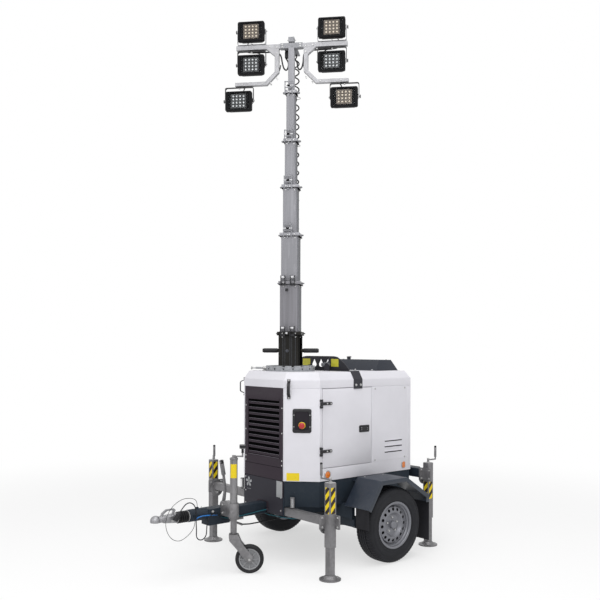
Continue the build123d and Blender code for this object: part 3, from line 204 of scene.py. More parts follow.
coupling_tip = 1737
breakaway_places = [spot(coupling_tip - behind, left, up) for behind, left, up in (
    (391, 0, 492), (391, 0, 516), (375, 9, 546), (341, 20, 564), (297, 32, 573), (250, 34, 575), (199, 36, 558),
    (152, 38, 527), (115, 43, 484), (93, 50, 432), (93, 56, 377), (115, 60, 325), (154, 62, 289), (205, 62, 276),
    (255, 62, 295), (305, 59, 328), (339, 54, 374), (339, 54, 424),
)]
cable_rubber = rubber("cable rubber", tone(30, 30, 33), 0.5, 0.05)
rope_sheath = rubber("wire rope sheath", tone(38, 38, 42), 0.4, 0.05)
breakaway = lead("breakaway_rope", breakaway_places, 0.002, rope_sheath, "chassis")
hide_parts("breakaway_cable")

plug_axis = Vector((-0.6, 0, 0.8))
plug_place = spot(coupling_tip - 179, 72, 462)
lighting_places = ([plug_place + 0.038 * plug_axis] + [spot(coupling_tip - behind, left, up) for behind, left, up in (
    (236, 72, 537.6), (280.5, 71.5, 552), (320, 71, 529), (337, 70, 487), (338, 68, 440), (340, 67, 385),
    (344, 66, 335), (343, 64, 285), (370, 62, 258), (408, 60, 258), (435, 59, 285), (437, 60, 335), (441, 61, 385),
    (454, 62, 420), (487, 62, 437), (532, 62, 430), (572, 60, 402), (617, 58, 388),
)] + [spot(727 + share * 358, left, up) for share, left, up in (
    (0.93, 56, 390), (0.735, 53, 386), (0.525, 54, 392), (0.316, 56, 398), (0.162, 60, 404), (0.05, 62, 405),
)])[::-1]
lead_rubber = rubber("lighting lead", tone(34, 38, 44), 0.5, 0.05)
ahead = Wire(lead_rubber.node_tree).node("TexCoord", out=3).split("X")
dress(lead_rubber, Base_Color=ahead.above(axle + 1.16, 0.03).mix(tone(28, 84, 96), tone(30, 32, 36)))
lighting = lead("lighting_lead", lighting_places, 0.004, lead_rubber, "chassis")
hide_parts("trailer_cable")


def frame_at(place, out, up=(0, 0, 1)):
    # A local frame: Z points out of the surface, Y as nearly up as it can, X to the right of both
    z = Vector(out).normalized()
    y = (Vector(up) - z * Vector(up).dot(z)).normalized()
    return Matrix.Translation(place) @ Matrix((y.cross(z), y, z)).transposed().to_4x4()


def facing(ahead, left, up, out):
    return frame_at(spot(ahead, left, up), out)


def upright(ahead, left, up):
    # A frame that stands on a place, with X ahead and Z up
    return frame_at(spot(ahead, left, up), (0, 0, 1), (0, 1, 0))


def rings(bm, place, outlines, closed=True):
    # A skin over outlines that have the same number of points, each (points, height) in millimetres
    before = None
    for points, height in outlines:
        ring = [bm.verts.new(place @ Vector((x / 1000, y / 1000, height / 1000))) for x, y in points]
        if before:
            for k in range(len(ring)):
                bm.faces.new((before[k - 1], before[k], ring[k], ring[k - 1]))
        elif closed:
            bm.faces.new(ring[::-1])
        before = ring
    if closed:
        bm.faces.new(before)


def slab(bm, place, outline, low, high):
    rings(bm, place, [(outline, low), (outline, high)])


def circle(radius, sides=24):
    return [(radius * math.cos(2 * math.pi * k / sides), radius * math.sin(2 * math.pi * k / sides))
            for k in range(sides)]


def turned(bm, place, profile, sides=32):
    # A lathe part from (radius, height) pairs along the frame's Z, in millimetres
    rings(bm, place, [(circle(radius, sides), height) for radius, height in profile])


def drawn(name, build, material, smooth=True):
    # An object whose mesh is drawn by build(bm) in the row frame
    bm = bmesh.new()
    build(bm)
    bmesh.ops.recalc_face_normals(bm, faces=bm.faces)
    mesh = bpy.data.meshes.new(name)
    bm.to_mesh(mesh)
    bm.free()
    for face in mesh.polygons:
        face.use_smooth = smooth
    mesh.materials.append(material)
    return placed(name, mesh)


def solid(name, build, material, body="chassis", slot="galvanised", width=0.0, segments=2, smooth=True):
    # A new piece that rides on a body, with its edges rounded where it has a width for them
    piece = drawn(name, build, material, smooth)
    if width:
        edge = piece.modifiers.new("edge", "BEVEL")
        edge.width, edge.segments = width / 1000, segments
        edge.limit_method = "ANGLE"
        edge.harden_normals = True
    elif smooth:
        piece.data.set_sharp_from_angle(angle=math.radians(35))
    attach(piece, body)
    return piece


def made(name, *looks, **edges):
    # Written above the function that draws a piece: it makes the piece, and the function's name stands for it
    return lambda build: solid(name, build, *looks, **edges)


@made("lighting_plug", cable_rubber, "chassis", "cable_black")
def plug(bm):
    turned(bm, frame_at(plug_place, plug_axis, (1, 0, 0)), [
        (14, -38), (19.5, -37), (20, -34), (20, -6), (18, -4), (18, 2), (19.5, 4), (19.5, 12), (16, 20), (13, 26),
        (8, 36), (5, 38),
    ])
    turned(bm, frame_at(plug_place, plug_axis, (1, 0, 0)), [(4.6, 37), (5.4, 40), (4.6, 46)], 16)
    for k in range(8):
        angle = 2 * math.pi * k / 8
        across = Vector((0.8, 0, 0.6)) * math.cos(angle) + Vector((0, 1, 0)) * math.sin(angle)
        turned(bm, frame_at(plug_place + 0.0185 * across - 0.02 * plug_axis, plug_axis, across),
               [(1.5, -12), (1.5, 12)], 6)


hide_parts("trailer_plug")


# Road wheels: radial van tyres on pressed steel rims with a ring of round hand holes. The tread has
# five ribs and open shoulder blocks; the rims are sprayed silver and held by five bolts.
def paint(name, colour, roughness=0.42, peel=0.04, grime=0.05, metallic=0.0, gloss=0.35):
    # Powder coat or wet paint: faint clouding, orange peel and a little road film
    material, wire = start(name)
    cloud = grain(wire, 2.6, 4.0)
    film = grain(wire, 30.0, 6.0, 0.6)
    skin = grain(wire, 520.0, 1.0)
    bump = wire.node("Bump", None, {"Strength": peel, "Distance": 0.001, "Height": skin})
    clouded = cloud.above(0.5, 0.3).mix(shaded(colour, 0.95), shaded(colour, 1.05))
    return dress(
        material,
        Base_Color=(film.above(0.58, 0.2) * grime).mix(clouded, tone(120, 116, 108)),
        Roughness=roughness + (film - 0.5) * 0.18,
        Metallic=metallic,
        Specular_IOR_Level=gloss,
        Normal=bump,
    )


def soften(piece, width=1.5, segments=2, angle=30):
    # Rolled and broken edges: weld the flat facets, merge them and round what is sharp
    weld = piece.modifiers.new("weld", "WELD")
    weld.merge_threshold = 0.00002
    flat = piece.modifiers.new("flat", "DECIMATE")
    flat.decimate_type = "DISSOLVE"
    flat.angle_limit = math.radians(0.6)
    edge = piece.modifiers.new("edge", "BEVEL")
    edge.width, edge.segments = width / 1000, segments
    edge.limit_method = "ANGLE"
    edge.angle_limit = math.radians(angle)
    edge.harden_normals = True


def coat(name, material, width=1.5, segments=2):
    piece = nodes[name]
    piece.data.materials.clear()
    piece.data.materials.append(material)
    for face in piece.data.polygons:
        face.use_smooth = True
    if width:
        soften(piece, width, segments)


def wrapped(bm, loops):
    # Faces between each closed loop of points and the next, and between the last and the first
    for loop, after in zip(loops, loops[1:] + loops[:1]):
        for k in range(len(loop)):
            bm.faces.new((loop[k - 1], loop[k], after[k], after[k - 1]))


def hoop(bm, place, section, sides):
    # A closed section of (radius, height) pairs turned right round the frame's Z
    wrapped(bm, [[
        bm.verts.new(place @ Vector((radius * math.cos(a) / 1000, radius * math.sin(a) / 1000, height / 1000)))
        for radius, height in section] for a in (2 * math.pi * k / sides for k in range(sides))])


def bolt(bm, place, size=5.0, washer=True):
    # A hexagon head on its washer, with a domed top
    if washer:
        turned(bm, place, [(size * 1.25, 0), (size * 1.25, size * 0.2)], 20)
    rings(bm, place @ Matrix.Translation((0, 0, size * 0.0002 if washer else 0)), [
        (circle(size, 6), 0), (circle(size, 6), size * 0.75), (circle(size * 0.82, 6), size * 0.9)])


tyre_rubber = rubber("tyre rubber", tone(27, 28, 32), 0.6, 0.25)
rim_silver = paint("wheel silver", tone(120, 121, 127), 0.36, 0.02, 0.06, 0.45)
bolt_steel = paint("plated bolts", tone(176, 176, 176), 0.32, 0.0, 0.03, 0.5)
bright_steel = paint("bright steel", tone(204, 204, 206), 0.3, 0.0, 0.0, 0.2)
track, tyre_radius, tread_steps = 681, 297, 216
tyre_section = [
    # across the tyre, radius, kind: s smooth, b shoulder block, m middle rib, g groove
    (-57, 168.4, "s"), (-68.4, 168.4, "s"), (-69, 184, "s"), (-74.6, 196, "s"), (-76.6, 197, "s"), (-78.6, 206, "s"),
    (-78, 208, "s"), (-81, 222, "s"), (-82.2, 236, "s"), (-81.4, 249, "s"), (-80, 251, "s"), (-79.2, 262, "s"),
    (-79.6, 265, "s"), (-75, 277, "s"), (-70, 284, "b"), (-64, 290, "b"), (-50, 295, "b"), (-38, 296.6, "b"),
    (-37, 289.5, "g"), (-31, 289.5, "g"), (-30, 296.8, "m"), (-14, 297, "m"), (-13, 289.5, "g"), (-8, 289.5, "g"),
    (-7, 297, "m"),
]
tyre_section += [(-across, radius, kind) for across, radius, kind in tyre_section[::-1]]
tyre_section += [(60, 230, "s"), (0, 262, "s"), (-60, 230, "s")]
barrel = [(167.7, 68.8), (183, 68.8), (184.5, 71), (183.5, 74), (178, 75.6), (171, 75), (167, 72), (164.5, 66),
    (163, 58),
          (157.5, 54), (155, 48), (153.5, 40), (148, 36), (145.7, 30), (145.7, -30), (163.7, -73.8), (184, -73.8),
          (184, -68.8), (167.7, -68.8), (151.7, -26), (151.7, 26)]
outer_roll = [(140, 46), (144, 43), (146.5, 36), (147, 20), (143, 20), (142.5, 36), (138, 42)]
dish = [(106, 54), (101, 56), (96, 55), (88, 46), (80, 36), (76, 33), (40, 33), (33, 34), (31, 40), (30, 56),
    (27, 60),
        (20, 62), (2, 62), (2, 50), (19, 50), (19, 29), (76, 29), (80, 32), (88, 42), (96, 51), (101, 52), (106, 50)]
both_sides = (("left", 1), ("right", -1))
for side_name, side in both_sides:
    hub = spot(0, side * track, tyre_radius)

    @made(f"road_tyre_{side_name}", tyre_rubber, f"wheel_{side_name}", "tyre")
    def tyre(bm):
        loops = []
        for step in range(tread_steps):
            angle = 2 * math.pi * step / tread_steps
            loops.append([])
            for across, radius, kind in tyre_section:
                cut = 5.5 if kind == "b" and step % 3 == 0 else 1.6 if kind == "m" and step % 3 == 1 else 0
                reach = (radius - cut) / 1000
                loops[-1].append(bm.verts.new(hub + Vector((reach * math.sin(angle), across / 1000,
                                                            reach * math.cos(angle)))))
        wrapped(bm, loops)

    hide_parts(f"tyre_{side_name}")
    hub_face = frame_at(hub + Vector((0, side * 0.032, 0)), (0, side, 0))

    def build_rim(bm):
        place = frame_at(hub, (0, side, 0))
        for section in (barrel, outer_roll, dish):
            hoop(bm, place, section, 72)
        for k in range(16):
            # One sector of the disc, a patch from its square edge to its round hand hole
            middle, before = 2 * math.pi * k / 16, None
            for around, drop in ((False, 0), (True, 0), (True, 4), (False, 4)):
                ring = []
                for step in range(32):
                    x, y = math.cos(math.pi * step / 16), math.sin(math.pi * step / 16)
                    if around:
                        reach, turn = math.hypot(122.5 + 12.5 * x, 12.5 * y), math.atan2(12.5 * y, 122.5 + 12.5 * x)
                    else:
                        edge = max(abs(x), abs(y))
                        reach, turn = 123 + 17 * x / edge, math.pi / 16 * y / edge
                    high = 46 + (140 - reach) * 8 / 34 - drop
                    ring.append(bm.verts.new(place @ (Vector((
                        reach * math.cos(middle + turn), reach * math.sin(middle + turn), high)) / 1000)))
                if before:
                    for step in range(32):
                        bm.faces.new((before[step - 1], before[step], ring[step], ring[step - 1]))
                before = ring
        bmesh.ops.remove_doubles(bm, verts=bm.verts, dist=0.00002)

    # A black disc behind the rim's hand holes: painted shade inside the wheel, seen through the holes
    solid(f"brake_shield_shade_{side_name}", lambda bm: hoop(bm, frame_at(hub, (0, side, 0)), [
        (24, 12), (141, 12), (141, 15), (24, 15)], 48), tyre_rubber, f"wheel_{side_name}", "rubber_black")
    rim = solid(f"road_rim_{side_name}", build_rim, rim_silver, f"wheel_{side_name}", "rim_silver")
    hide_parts(f"rim_{side_name}")

    @made(f"wheel_bolts_{side_name}", bolt_steel, f"wheel_{side_name}", "rim_silver")
    def wheel_bolts(bm):
        for k in range(5):
            turn = Matrix.Rotation(2 * math.pi * k / 5 + 0.3, 4, "Z")
            place = hub_face @ turn @ Matrix.Translation((0.056, 0, 0))
            turned(bm, place, [(10, 0), (8.5, 5)], 20)
            bolt(bm, place @ Matrix.Translation((0, 0, 0.005)), 8, False)

    @made(f"tyre_valve_{side_name}", cable_rubber, f"wheel_{side_name}", "rubber_black")
    def valve(bm):
        place = hub_face @ Matrix.Translation((0, 0.143, -0.006))
        turned(bm, place, [(5, -10), (4, 4), (3.5, 22), (4.2, 23), (4.2, 32), (3.4, 33)], 12)


# Axle and chassis: welded square tube and plate, sprayed dark blue-grey all over, with the torsion
# axle bolted to the rails through two brackets.
def box(bm, place, low, high):
    # A block between two corners of a local frame, in millimetres
    corners = [(low[0], low[1]), (high[0], low[1]), (high[0], high[1]), (low[0], high[1])]
    slab(bm, place, corners, low[2], high[2])


chassis_paint = paint("chassis paint", tone(37, 45, 54), 0.5, 0.06, 0.03, gloss=0.14)
for name in ("axle", "base_tub", "chassis_rails", "cross_members", "drawbar", "overrun_housing"):
    coat(name, chassis_paint)


@made("axle_bolts", bolt_steel, "chassis", "chassis_dark")
def axle_bolts(bm):
    for side in (1, -1):
        for ahead in (205, 259):
            for up in (340, 372):
                bolt(bm, facing(ahead, side * 330, up, (0, side, 0)), 7)
        bolt(bm, facing(232, side * 590, 320, (0, side, 0)), 9)


@made("axle_plates", chassis_paint, "chassis", "chassis_dark", 1.0)
def axle_plates(bm):
    place = upright(0, 0, 0)
    for side in (1, -1):
        low, high = sorted((side * 290, side * 566))
        box(bm, place, (258, low, 350), (290, high, 462))


# Handbrake linkage: a galvanised channel under the drawbar with the brake rod running back to the axle,
# and the rubber-covered lines that are clipped along the chassis.
def rod(bm, start_at, end_at, radius, sides=12):
    along = end_at - start_at
    turned(bm, frame_at(start_at, along, (0, 0, 1) if abs(along.normalized().z) < 0.9 else (0, 1, 0)),
           [(radius, 0), (radius, along.length * 1000)], sides)


def tube(bm, path, radius, sides=8):
    # A round bar along a line of places, turned from each ring to the next without twist
    before = across = None
    for i, place in enumerate(path):
        along = (path[min(i + 1, len(path) - 1)] - path[max(i - 1, 0)]).normalized()
        across = along.orthogonal() if across is None else across - along * across.dot(along)
        across.normalize()
        other = along.cross(across)
        ring = [bm.verts.new(place + radius * (math.cos(2 * math.pi * k / sides) * across
                                               + math.sin(2 * math.pi * k / sides) * other)) for k in range(sides)]
        if before:
            for k in range(sides):
                bm.faces.new((before[k - 1], before[k], ring[k], ring[k - 1]))
        else:
            bm.faces.new(ring[::-1])
        before = ring
    bm.faces.new(before)


def zinc(name, colour, spangle=42.0, roughness=0.5, metallic=0.3, drawn=1.0):
    # Hot-dip galvanised steel: flat crystals of slightly different greys, with dull patches. On drawn
    # tube they stretch into upright streaks.
    material, wire = start(name)
    place = wire.node("VectorMath", {"operation": "MULTIPLY"}, {0: wire.node("TexCoord", out=3), 1: (1, 1, drawn)})
    cell = wire.node("TexVoronoi", {"feature": "F1"}, {"Vector": place, "Scale": spangle}, out=1)
    grey = wire.node("RGBToBW", None, {0: cell})
    dull = grain(wire, 5.0, 5.0)
    streak = wire.node("TexNoise", None, {"Vector": place, "Scale": 18.0, "Detail": 3.0})
    flake = grey * 0.5 + streak * 0.5
    bump = wire.node("Bump", None, {"Strength": 0.08, "Distance": 0.001, "Height": grain(wire, 160.0)})
    return dress(
        material,
        Base_Color=flake.above(0.5, 0.35).mix(shaded(colour, 0.84), shaded(colour, 1.14)),
        Roughness=roughness + (dull - 0.5) * 0.3 + (grey - 0.5) * 0.1,
        Metallic=metallic,
        Normal=bump,
    )


galvanised = zinc("galvanised steel", tone(120, 119, 121), roughness=0.42, metallic=0.45)


@made("brake_linkage", galvanised, "chassis", "galvanised", 0.6)
def brake_rod(bm):
    place = upright(0, 0, 0)
    for low, high in (((930, -14, 352), (1092, -11, 371)), ((930, 11, 352), (1092, 14, 371)),
                      ((930, -14, 349), (1092, 14, 352))):
        box(bm, place, low, high)
    rod(bm, spot(300, 0, 352), spot(935, 0, 362), 0.005)
    tube(bm, [spot(1090, -10, 372), spot(1040, -10, 350), spot(925, -10, 300)], 0.009, 8)
    rod(bm, spot(268, -300, 334), spot(268, 300, 334), 0.006)
    rod(bm, spot(268, 0, 334), spot(310, 0, 352), 0.006)


@made("brake_lines", cable_rubber, "chassis", "cable_black")
def brake_lines(bm):
    tube(bm, [spot(925, -10, 302), spot(860, -6, 296), spot(720, 0, 298), spot(560, 0, 304), spot(400, 0, 318),
              spot(300, 0, 330)], 0.0055, 8)
    tube(bm, [spot(700, 60, 372), spot(640, 90, 362), spot(560, 150, 368), spot(480, 230, 366), spot(330, 300, 372),
              spot(270, 330, 380)], 0.006, 8)


solid("rear_light_lead", lambda bm: tube(bm, [
    spot(716, -40, 372), spot(700, 40, 356), spot(706, 130, 362), spot(706, 230, 366), spot(700, 330, 372),
        spot(640, 400, 380),
    spot(520, 430, 384)], 0.0045, 8), lead_rubber, "chassis", "cable_black")
hose_blue = rubber("blue hose", tone(44, 110, 180), 0.4, 0.02)
solid("blue_hose", lambda bm: tube(bm, [spot(1392, 44, 405), spot(1372, 53, 426), spot(1335, 57.5, 433),
                                        spot(1290, 57.5, 431), spot(1240, 57, 428), spot(1200, 54, 424)], 0.0042, 10),
      hose_blue, "chassis", "cable_black")


# Arm lock: a sprung pin in a galvanised bracket on each side of the tub, which drops through the
# sleeve into a hole of the sliding arm.
def spring_coil(bm, bottom, top, radius, wire_radius, turns):
    path = [bottom.lerp(top, k / (turns * 12)) + radius * Vector((math.cos(math.pi * k / 6),
                                                                 math.sin(math.pi * k / 6), 0))
            for k in range(turns * 12 + 1)]
    tube(bm, path, wire_radius, 6)


for side_name, side, pin_low in (("left", 1, 457), ("right", -1, 524)):
    def build_arm_lock(bm):
        place = facing(692, side * 325, 0, (1, side, 0))
        low, high = pin_low - 2, pin_low + 78
        box(bm, place, (-16, low, -9), (16, high, -6))
        for up in (low, high - 6):
            box(bm, place, (-16, up, -9), (16, up + 6, 19))
        for across in (-16, 13):
            box(bm, place, (across, low, -9), (across + 3, high, 4))

    def build_lock_pin(bm):
        centre = facing(692, side * 325, 0, (1, side, 0)) @ Vector((0, 0, 0.009))
        at = [centre + Vector((0, 0, up / 1000)) for up in (pin_low - 8, pin_low + 4, pin_low + 72, pin_low + 112)]
        across = Vector((-side, 1, 0)).normalized() * 0.017
        rod(bm, at[0], at[3], 0.0055)
        rod(bm, at[3] - across, at[3] + across, 0.0045)
        spring_coil(bm, at[1], at[2], 0.010, 0.002, 8)

    solid(f"arm_lock_{side_name}", build_arm_lock, galvanised, "chassis", "galvanised", 0.5)
    solid(f"lock_pin_{side_name}", build_lock_pin, bright_steel)

# Mudguards: folded sheet with a textured blue-grey powder coat, bolted to the tub; the flaps are
# black rubber sheet with a bolted steel strip.
guard_paint = paint("mudguard paint", tone(34, 42, 54), 0.4, 0.14, 0.05, gloss=0.5)
coat("mudguards", guard_paint, 1.0)
flap_rubber = rubber("flap rubber", tone(33, 33, 37), 0.65)
coat("mudflaps", flap_rubber, 1.0)


@made("guard_bolts", bolt_steel)
def guard_bolts(bm):
    for side in (1, -1):
        for ahead in (-70, 40, 150):
            bolt(bm, upright(ahead, side * 490, 629), 6)
        for left in (610, 685, 760):
            bolt(bm, facing(-371.3, side * left, 462, (-1, 0, 0)), 5)
        for ahead in (-60, 145):
            bolt(bm, upright(ahead, side * 560, 665), 5)

# Stabilisers: galvanised square arms with a bolted clamp that holds each screw jack's outer tube. The
# legs end in dished feet, the cranks have black rubber grips, and the tubes carry striped tape.
grip_rubber = rubber("grip rubber", tone(36, 36, 38), 0.55, 0.3)
stripe_tape, wire = start("striped tape")
place = wire.node("TexCoord", out=3)
band = (place.split("Z") * 12.6 + (place.split("X") - place.split("Y")) * 14.0).fraction()
dress(stripe_tape, Base_Color=band.above(0.5, 0.03).mix(tone(228, 200, 24), tone(40, 30, 30)),
      Roughness=0.35 + grain(wire, 60.0) * 0.2, Specular_IOR_Level=0.3)
corners = (
    # name, ahead, side, half, arm_z, clamp plate in front (1) or behind (-1), crank turn, tape bottom and top
    ("front_left", 694, 1, 761, 418, -1, -80, 482, 672),
    ("front_right", 694, -1, 761, 485, -1, 60, 546, 690),
    ("rear_left", -640, 1, 536, 610, 1, 175, 400, 545),
    ("rear_right", -640, -1, 536, 610, 1, 150, 400, 545),
)


def rounded(wide, high, radius, steps=5):
    # Outline of a rectangle with round corners, in millimetres
    points = []
    for k in range(4):
        angle = math.pi / 2 * k
        x = (wide / 2 - radius) * (1 if k in (0, 3) else -1)
        y = (high / 2 - radius) * (1 if k in (0, 1) else -1)
        for step in range(steps + 1):
            turn = angle + math.pi / 2 * step / steps
            points.append((x + radius * math.cos(turn), y + radius * math.sin(turn)))
    return points


def plates(bm, place, steps):
    # A stack of rounded rectangles: (wide, high, radius, height) of each
    rings(bm, place, [(rounded(wide, high, radius), up) for wide, high, radius, up in steps])


for name, ahead, side, half, arm_z, plate_way, crank_turn, tape_low, tape_high in corners:
    body, leg_body = f"outrigger_{name}", f"jack_leg_{name}"
    coat(body, galvanised)
    coat(leg_body, galvanised)
    left = side * half
    turn = math.radians(crank_turn)
    grip_ahead, grip_left = ahead + 85 * math.cos(turn), left + 85 * math.sin(turn)

    @made(f"clamp_bolts_{name}", bolt_steel, body)
    def clamp_bolts(bm):
        for up in (arm_z - 35, arm_z + 35):
            for along in (-53, 53):
                bolt(bm, facing(ahead + along, side * (half - 29), up, (0, side, 0)), 7)
                bolt(bm, facing(ahead + along, side * (half - 42), up, (0, -side, 0)), 7)
            plate_face = ahead + plate_way * 30
            bolt(bm, facing(plate_face, side * (half + 47), up, (-plate_way, 0, 0)), 7)
            bolt(bm, facing(plate_face + plate_way * 12, side * (half + 47), up, (plate_way, 0, 0)), 7)
        swivel = facing(ahead, side * (half - 54), arm_z - 50, (0, -side, 0))
        turned(bm, swivel, [(17, 0), (17, 4), (9, 4.5), (9, 16), (7, 18)], 24)
        rod(bm, spot(ahead + 34, side * (half - 62), arm_z - 66), spot(ahead + 34, side * (half - 40), arm_z - 66),
            0.006)

    @made(f"crank_grip_{name}", grip_rubber, body, "trim_black")
    def build_grip(bm):
        turned(bm, upright(grip_ahead, grip_left, 754), [
            (6, -5), (9.6, -4), (9.9, 2), (9.4, 12), (9.8, 30), (9.9, 60), (9.5, 76), (10, 86), (7, 90)], 20)

    @made(f"crank_cap_{name}", bolt_steel, body)
    def crank_cap(bm):
        # Cap plate of the tube, the nut on the screw's end and the clip of the crank
        place = upright(ahead, left, 705)
        plates(bm, place, [(58, 58, 6, -1), (58, 58, 6, 2), (54, 54, 6, 3.4)])
        turned(bm, place, [(14, 3), (14, 8), (11, 10)], 20)
        bolt(bm, place @ Matrix.Translation((0, 0, 0.030)), 11, False)
        out = Vector((math.cos(turn), math.sin(turn), 0))
        rod(bm, place @ Vector((0, 0, 0.024)) - 0.024 * out, place @ Vector((0, 0, 0.024)), 0.005)

    @made(f"striped_tape_{name}", stripe_tape, body, "amber_lens")
    def tape(bm):
        for out in ((1, 0), (-1, 0), (0, 1), (0, -1)):
            face = facing(ahead + 30 * out[0], left + 30 * out[1], 0, (*out, 0))
            box(bm, face, (-20, tape_low, 0), (20, tape_high, 0.5))

    @made(f"dished_foot_{name}", galvanised, leg_body, "galvanised", 0.6)
    def build_foot(bm):
        turned(bm, upright(ahead, left, 0), [
            (76, 8), (79.4, 8.2), (79.4, 11), (76, 12), (66, 11), (58, 14), (44, 27), (36, 34)], 48)
        for k in range(4):
            angle = math.pi / 4 + math.pi * k / 2
            face = facing(ahead, left, 0, (-math.sin(angle), math.cos(angle), 0))
            web = [(30, 20), (60, 11), (60, 13), (37, 33), (30, 33)]
            slab(bm, face, web, -2.5, 2.5)

# Overrun gaiter: five soft folds of black rubber round the coupling's sliding shaft, clipped at both ends
# with steel bands. The drawbar's nuts and the housing's grease nipple are here too.
coupling_height = 436


def build_gaiter(bm):
    profile = [(40, 1430), (41, 1434), (36, 1437)]
    for fold in range(5):
        root = 1437 + fold * 17.6
        profile += [(34, root + 1), (40, root + 3.5), (43.6, root + 8), (43.6, root + 10), (40, root + 14),
                    (34, root + 16.6)]
    profile += [(35, 1526), (34, 1528.5)]
    turned(bm, facing(0, 0, coupling_height, (1, 0, 0)), profile, 40)


gaiter_rubber = rubber("gaiter rubber", tone(24, 24, 26), 0.5)
gaiter = solid("ribbed_gaiter", build_gaiter, gaiter_rubber, "chassis", "rubber_black")
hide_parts("overrun_gaiter")
for face in gaiter.data.polygons:
    face.use_smooth = True


@made("housing_fittings", bolt_steel)
def gaiter_clips(bm):
    for ahead, radius in ((1431, 42), (1523, 36.5)):
        turned(bm, facing(ahead, 0, coupling_height, (1, 0, 0)),
            [(radius - 2, 0), (radius, 0.4), (radius, 4.6), (radius - 2, 5)], 40)
    for ahead, up in ((1120, 447), (1120, 375), (1240, 447), (1240, 375)):
        bolt(bm, facing(ahead, -50, up, (0, -1, 0)), 8)
    bolt(bm, facing(1240, 50, 452, (0, 1, 0)), 8)
    turned(bm, upright(1310, 0, 481), [(4.5, 0), (4.5, 4), (2.2, 6), (2.2, 10), (3, 12)], 10)

# Coupling: a zinc-plated cast cup with its lifting handle, and the parking bracket of the plug. It is
# bolted through the overrun shaft.
cast_zinc = zinc("plated casting", tone(148, 148, 151), 60.0, 0.38, 0.6)
coat("coupling_head", cast_zinc, 3.0, 3)


@made("coupling_bolts", bolt_steel, "chassis", "cast_silver")
def coupling_bolts(bm):
    for ahead in (1548, 1580):
        for side in (1, -1):
            if side == 1 and ahead == 1548:
                continue
            bolt(bm, facing(ahead, side * (36 - (ahead - 1530) * 0.045), 424, (0, side, 0)), 8)
    turned(bm, facing(1652, 9, 462, (0, 1, 0)), [(6, 0), (6, 3), (4, 4)], 12)

# Handbrake lever and jockey clamp: galvanised plate; the lever has a ribbed black grip, and the clamp
# closes round the jockey tube with a bolt and a handle.
coat("drawbar_fittings", galvanised)
lever_tilt = Vector((0.2, 0, 1)).normalized()
grip_low = spot(1109, 0, 712)


@made("lever_grip", grip_rubber, "chassis", "rubber_black")
def lever_grip(bm):
    place = frame_at(grip_low, lever_tilt, (0, 1, 0))
    outlines = []
    for k in range(13):
        swell = 0 if k % 2 else 0.9
        outlines.append((rounded(25 + swell + (1.5 if k > 9 else 0), 31 + swell, 10), -2 + k * 9.4))
    outlines.append((rounded(16, 20, 7), 114))
    rings(bm, place @ Matrix.Rotation(math.pi / 2, 4, "Z"), outlines)


@made("clamp_handle", bolt_steel)
def clamp_handle(bm):
    for up in (440, 500):
        bolt(bm, facing(1097, 80, up, (-1, 0, 0)), 7)
        bolt(bm, facing(1171, 80, up, (1, 0, 0)), 7)
    rod(bm, spot(1171, 112, 470), spot(1196, 112, 470), 0.007)
    rod(bm, spot(1190, 112, 426), spot(1190, 112, 514), 0.005)
    bolt(bm, facing(1108, -14, 486, (0, -1, 0)), 9)
    bolt(bm, facing(1108, 14, 486, (0, 1, 0)), 9)

# Jockey wheel: a galvanised tube and leg with a winding crank, a cranked fork, and a solid rubber
# tyre on a light grey pressed wheel with ribs.
for name in ("jockey_tube", "jockey_leg", "jockey_fork"):
    coat(name, galvanised, 1.2)
jockey = spot(1137, 175, 0)
crank_knob = jockey + Vector((-0.050, 0.042, 0.852 + 0.078))


@made("jockey_knob", grip_rubber, "chassis", "rubber_black")
def jockey_knob(bm):
    place = frame_at(crank_knob, (0, 0, 1), (-50, 42, 0))
    plates(bm, place @ Matrix.Rotation(math.pi / 2, 4, "Z"), [(16, 16, 7, -34), (19, 19, 8, -30), (17, 17, 7, -4),
        (40, 22, 9, 0), (47, 27, 11, 6), (47, 27, 11, 24), (40, 20, 9, 30)])


def label(bm, place, wide, high, radius=4, proud=0.6):
    plates(bm, place, [(wide, high, radius, 0), (wide, high, radius, proud)])


def curved_label(bm, centre, radius, low, high, middle, spread, proud=0.5):
    # A sticker that wraps a round tube
    angles = [middle + spread * (k / 12 - 0.5) for k in range(13)]
    outer = [((radius + proud) * math.cos(a), (radius + proud) * math.sin(a)) for a in angles]
    inner = [((radius - 1) * math.cos(a), (radius - 1) * math.sin(a)) for a in angles]
    slab(bm, Matrix.Translation(centre), outer + inner[::-1], low, high)


yellow_label = paint("yellow label", tone(222, 196, 22), 0.3, 0.0, 0.02)
solid("jockey_label", lambda bm: curved_label(bm, jockey, 28, 712, 816, math.radians(50), 1.9), yellow_label,
      "chassis", "amber_lens")


@made("jockey_cap", galvanised, "chassis", "galvanised", 0.5)
def jockey_trim(bm):
    turned(bm, Matrix.Translation(jockey), [(28.2, 846), (31, 848), (31, 858), (24, 864), (14, 866)], 36)
    turned(bm, Matrix.Translation(jockey), [(28.1, 520), (30.5, 521), (30.5, 527), (28.1, 528)], 36)
    for up in (842, 860):
        bolt(bm, frame_at(jockey + Vector((0.024, 0.016, up / 1000 - 0.01)), (0.83, 0.55, 0)), 4, False)


trail_turn = math.atan2(75, -94)
trail = Vector((math.cos(trail_turn), math.sin(trail_turn), 0))
sideways = Vector((-trail.y, trail.x, 0))
jockey_axle = jockey + 0.12 * trail + Vector((0, 0, 0.107))
tread_rubber = rubber("jockey tread", tone(34, 34, 36), 0.6)
hub_grey = paint("jockey hub", tone(142, 143, 146), 0.45, 0.05, 0.08)


@made("jockey_tyre", tread_rubber, "jockey_wheel", "jockey_rubber")
def jockey_tyre(bm):
    hoop(bm, frame_at(jockey_axle, sideways), [
        (79, -19), (84, -22), (90, -24), (97, -24.6), (103, -21), (106.4, -14), (107, -5), (107, 5), (106.4, 14),
        (103, 21), (97, 24.6), (90, 24), (84, 22), (79, 19)], 64)


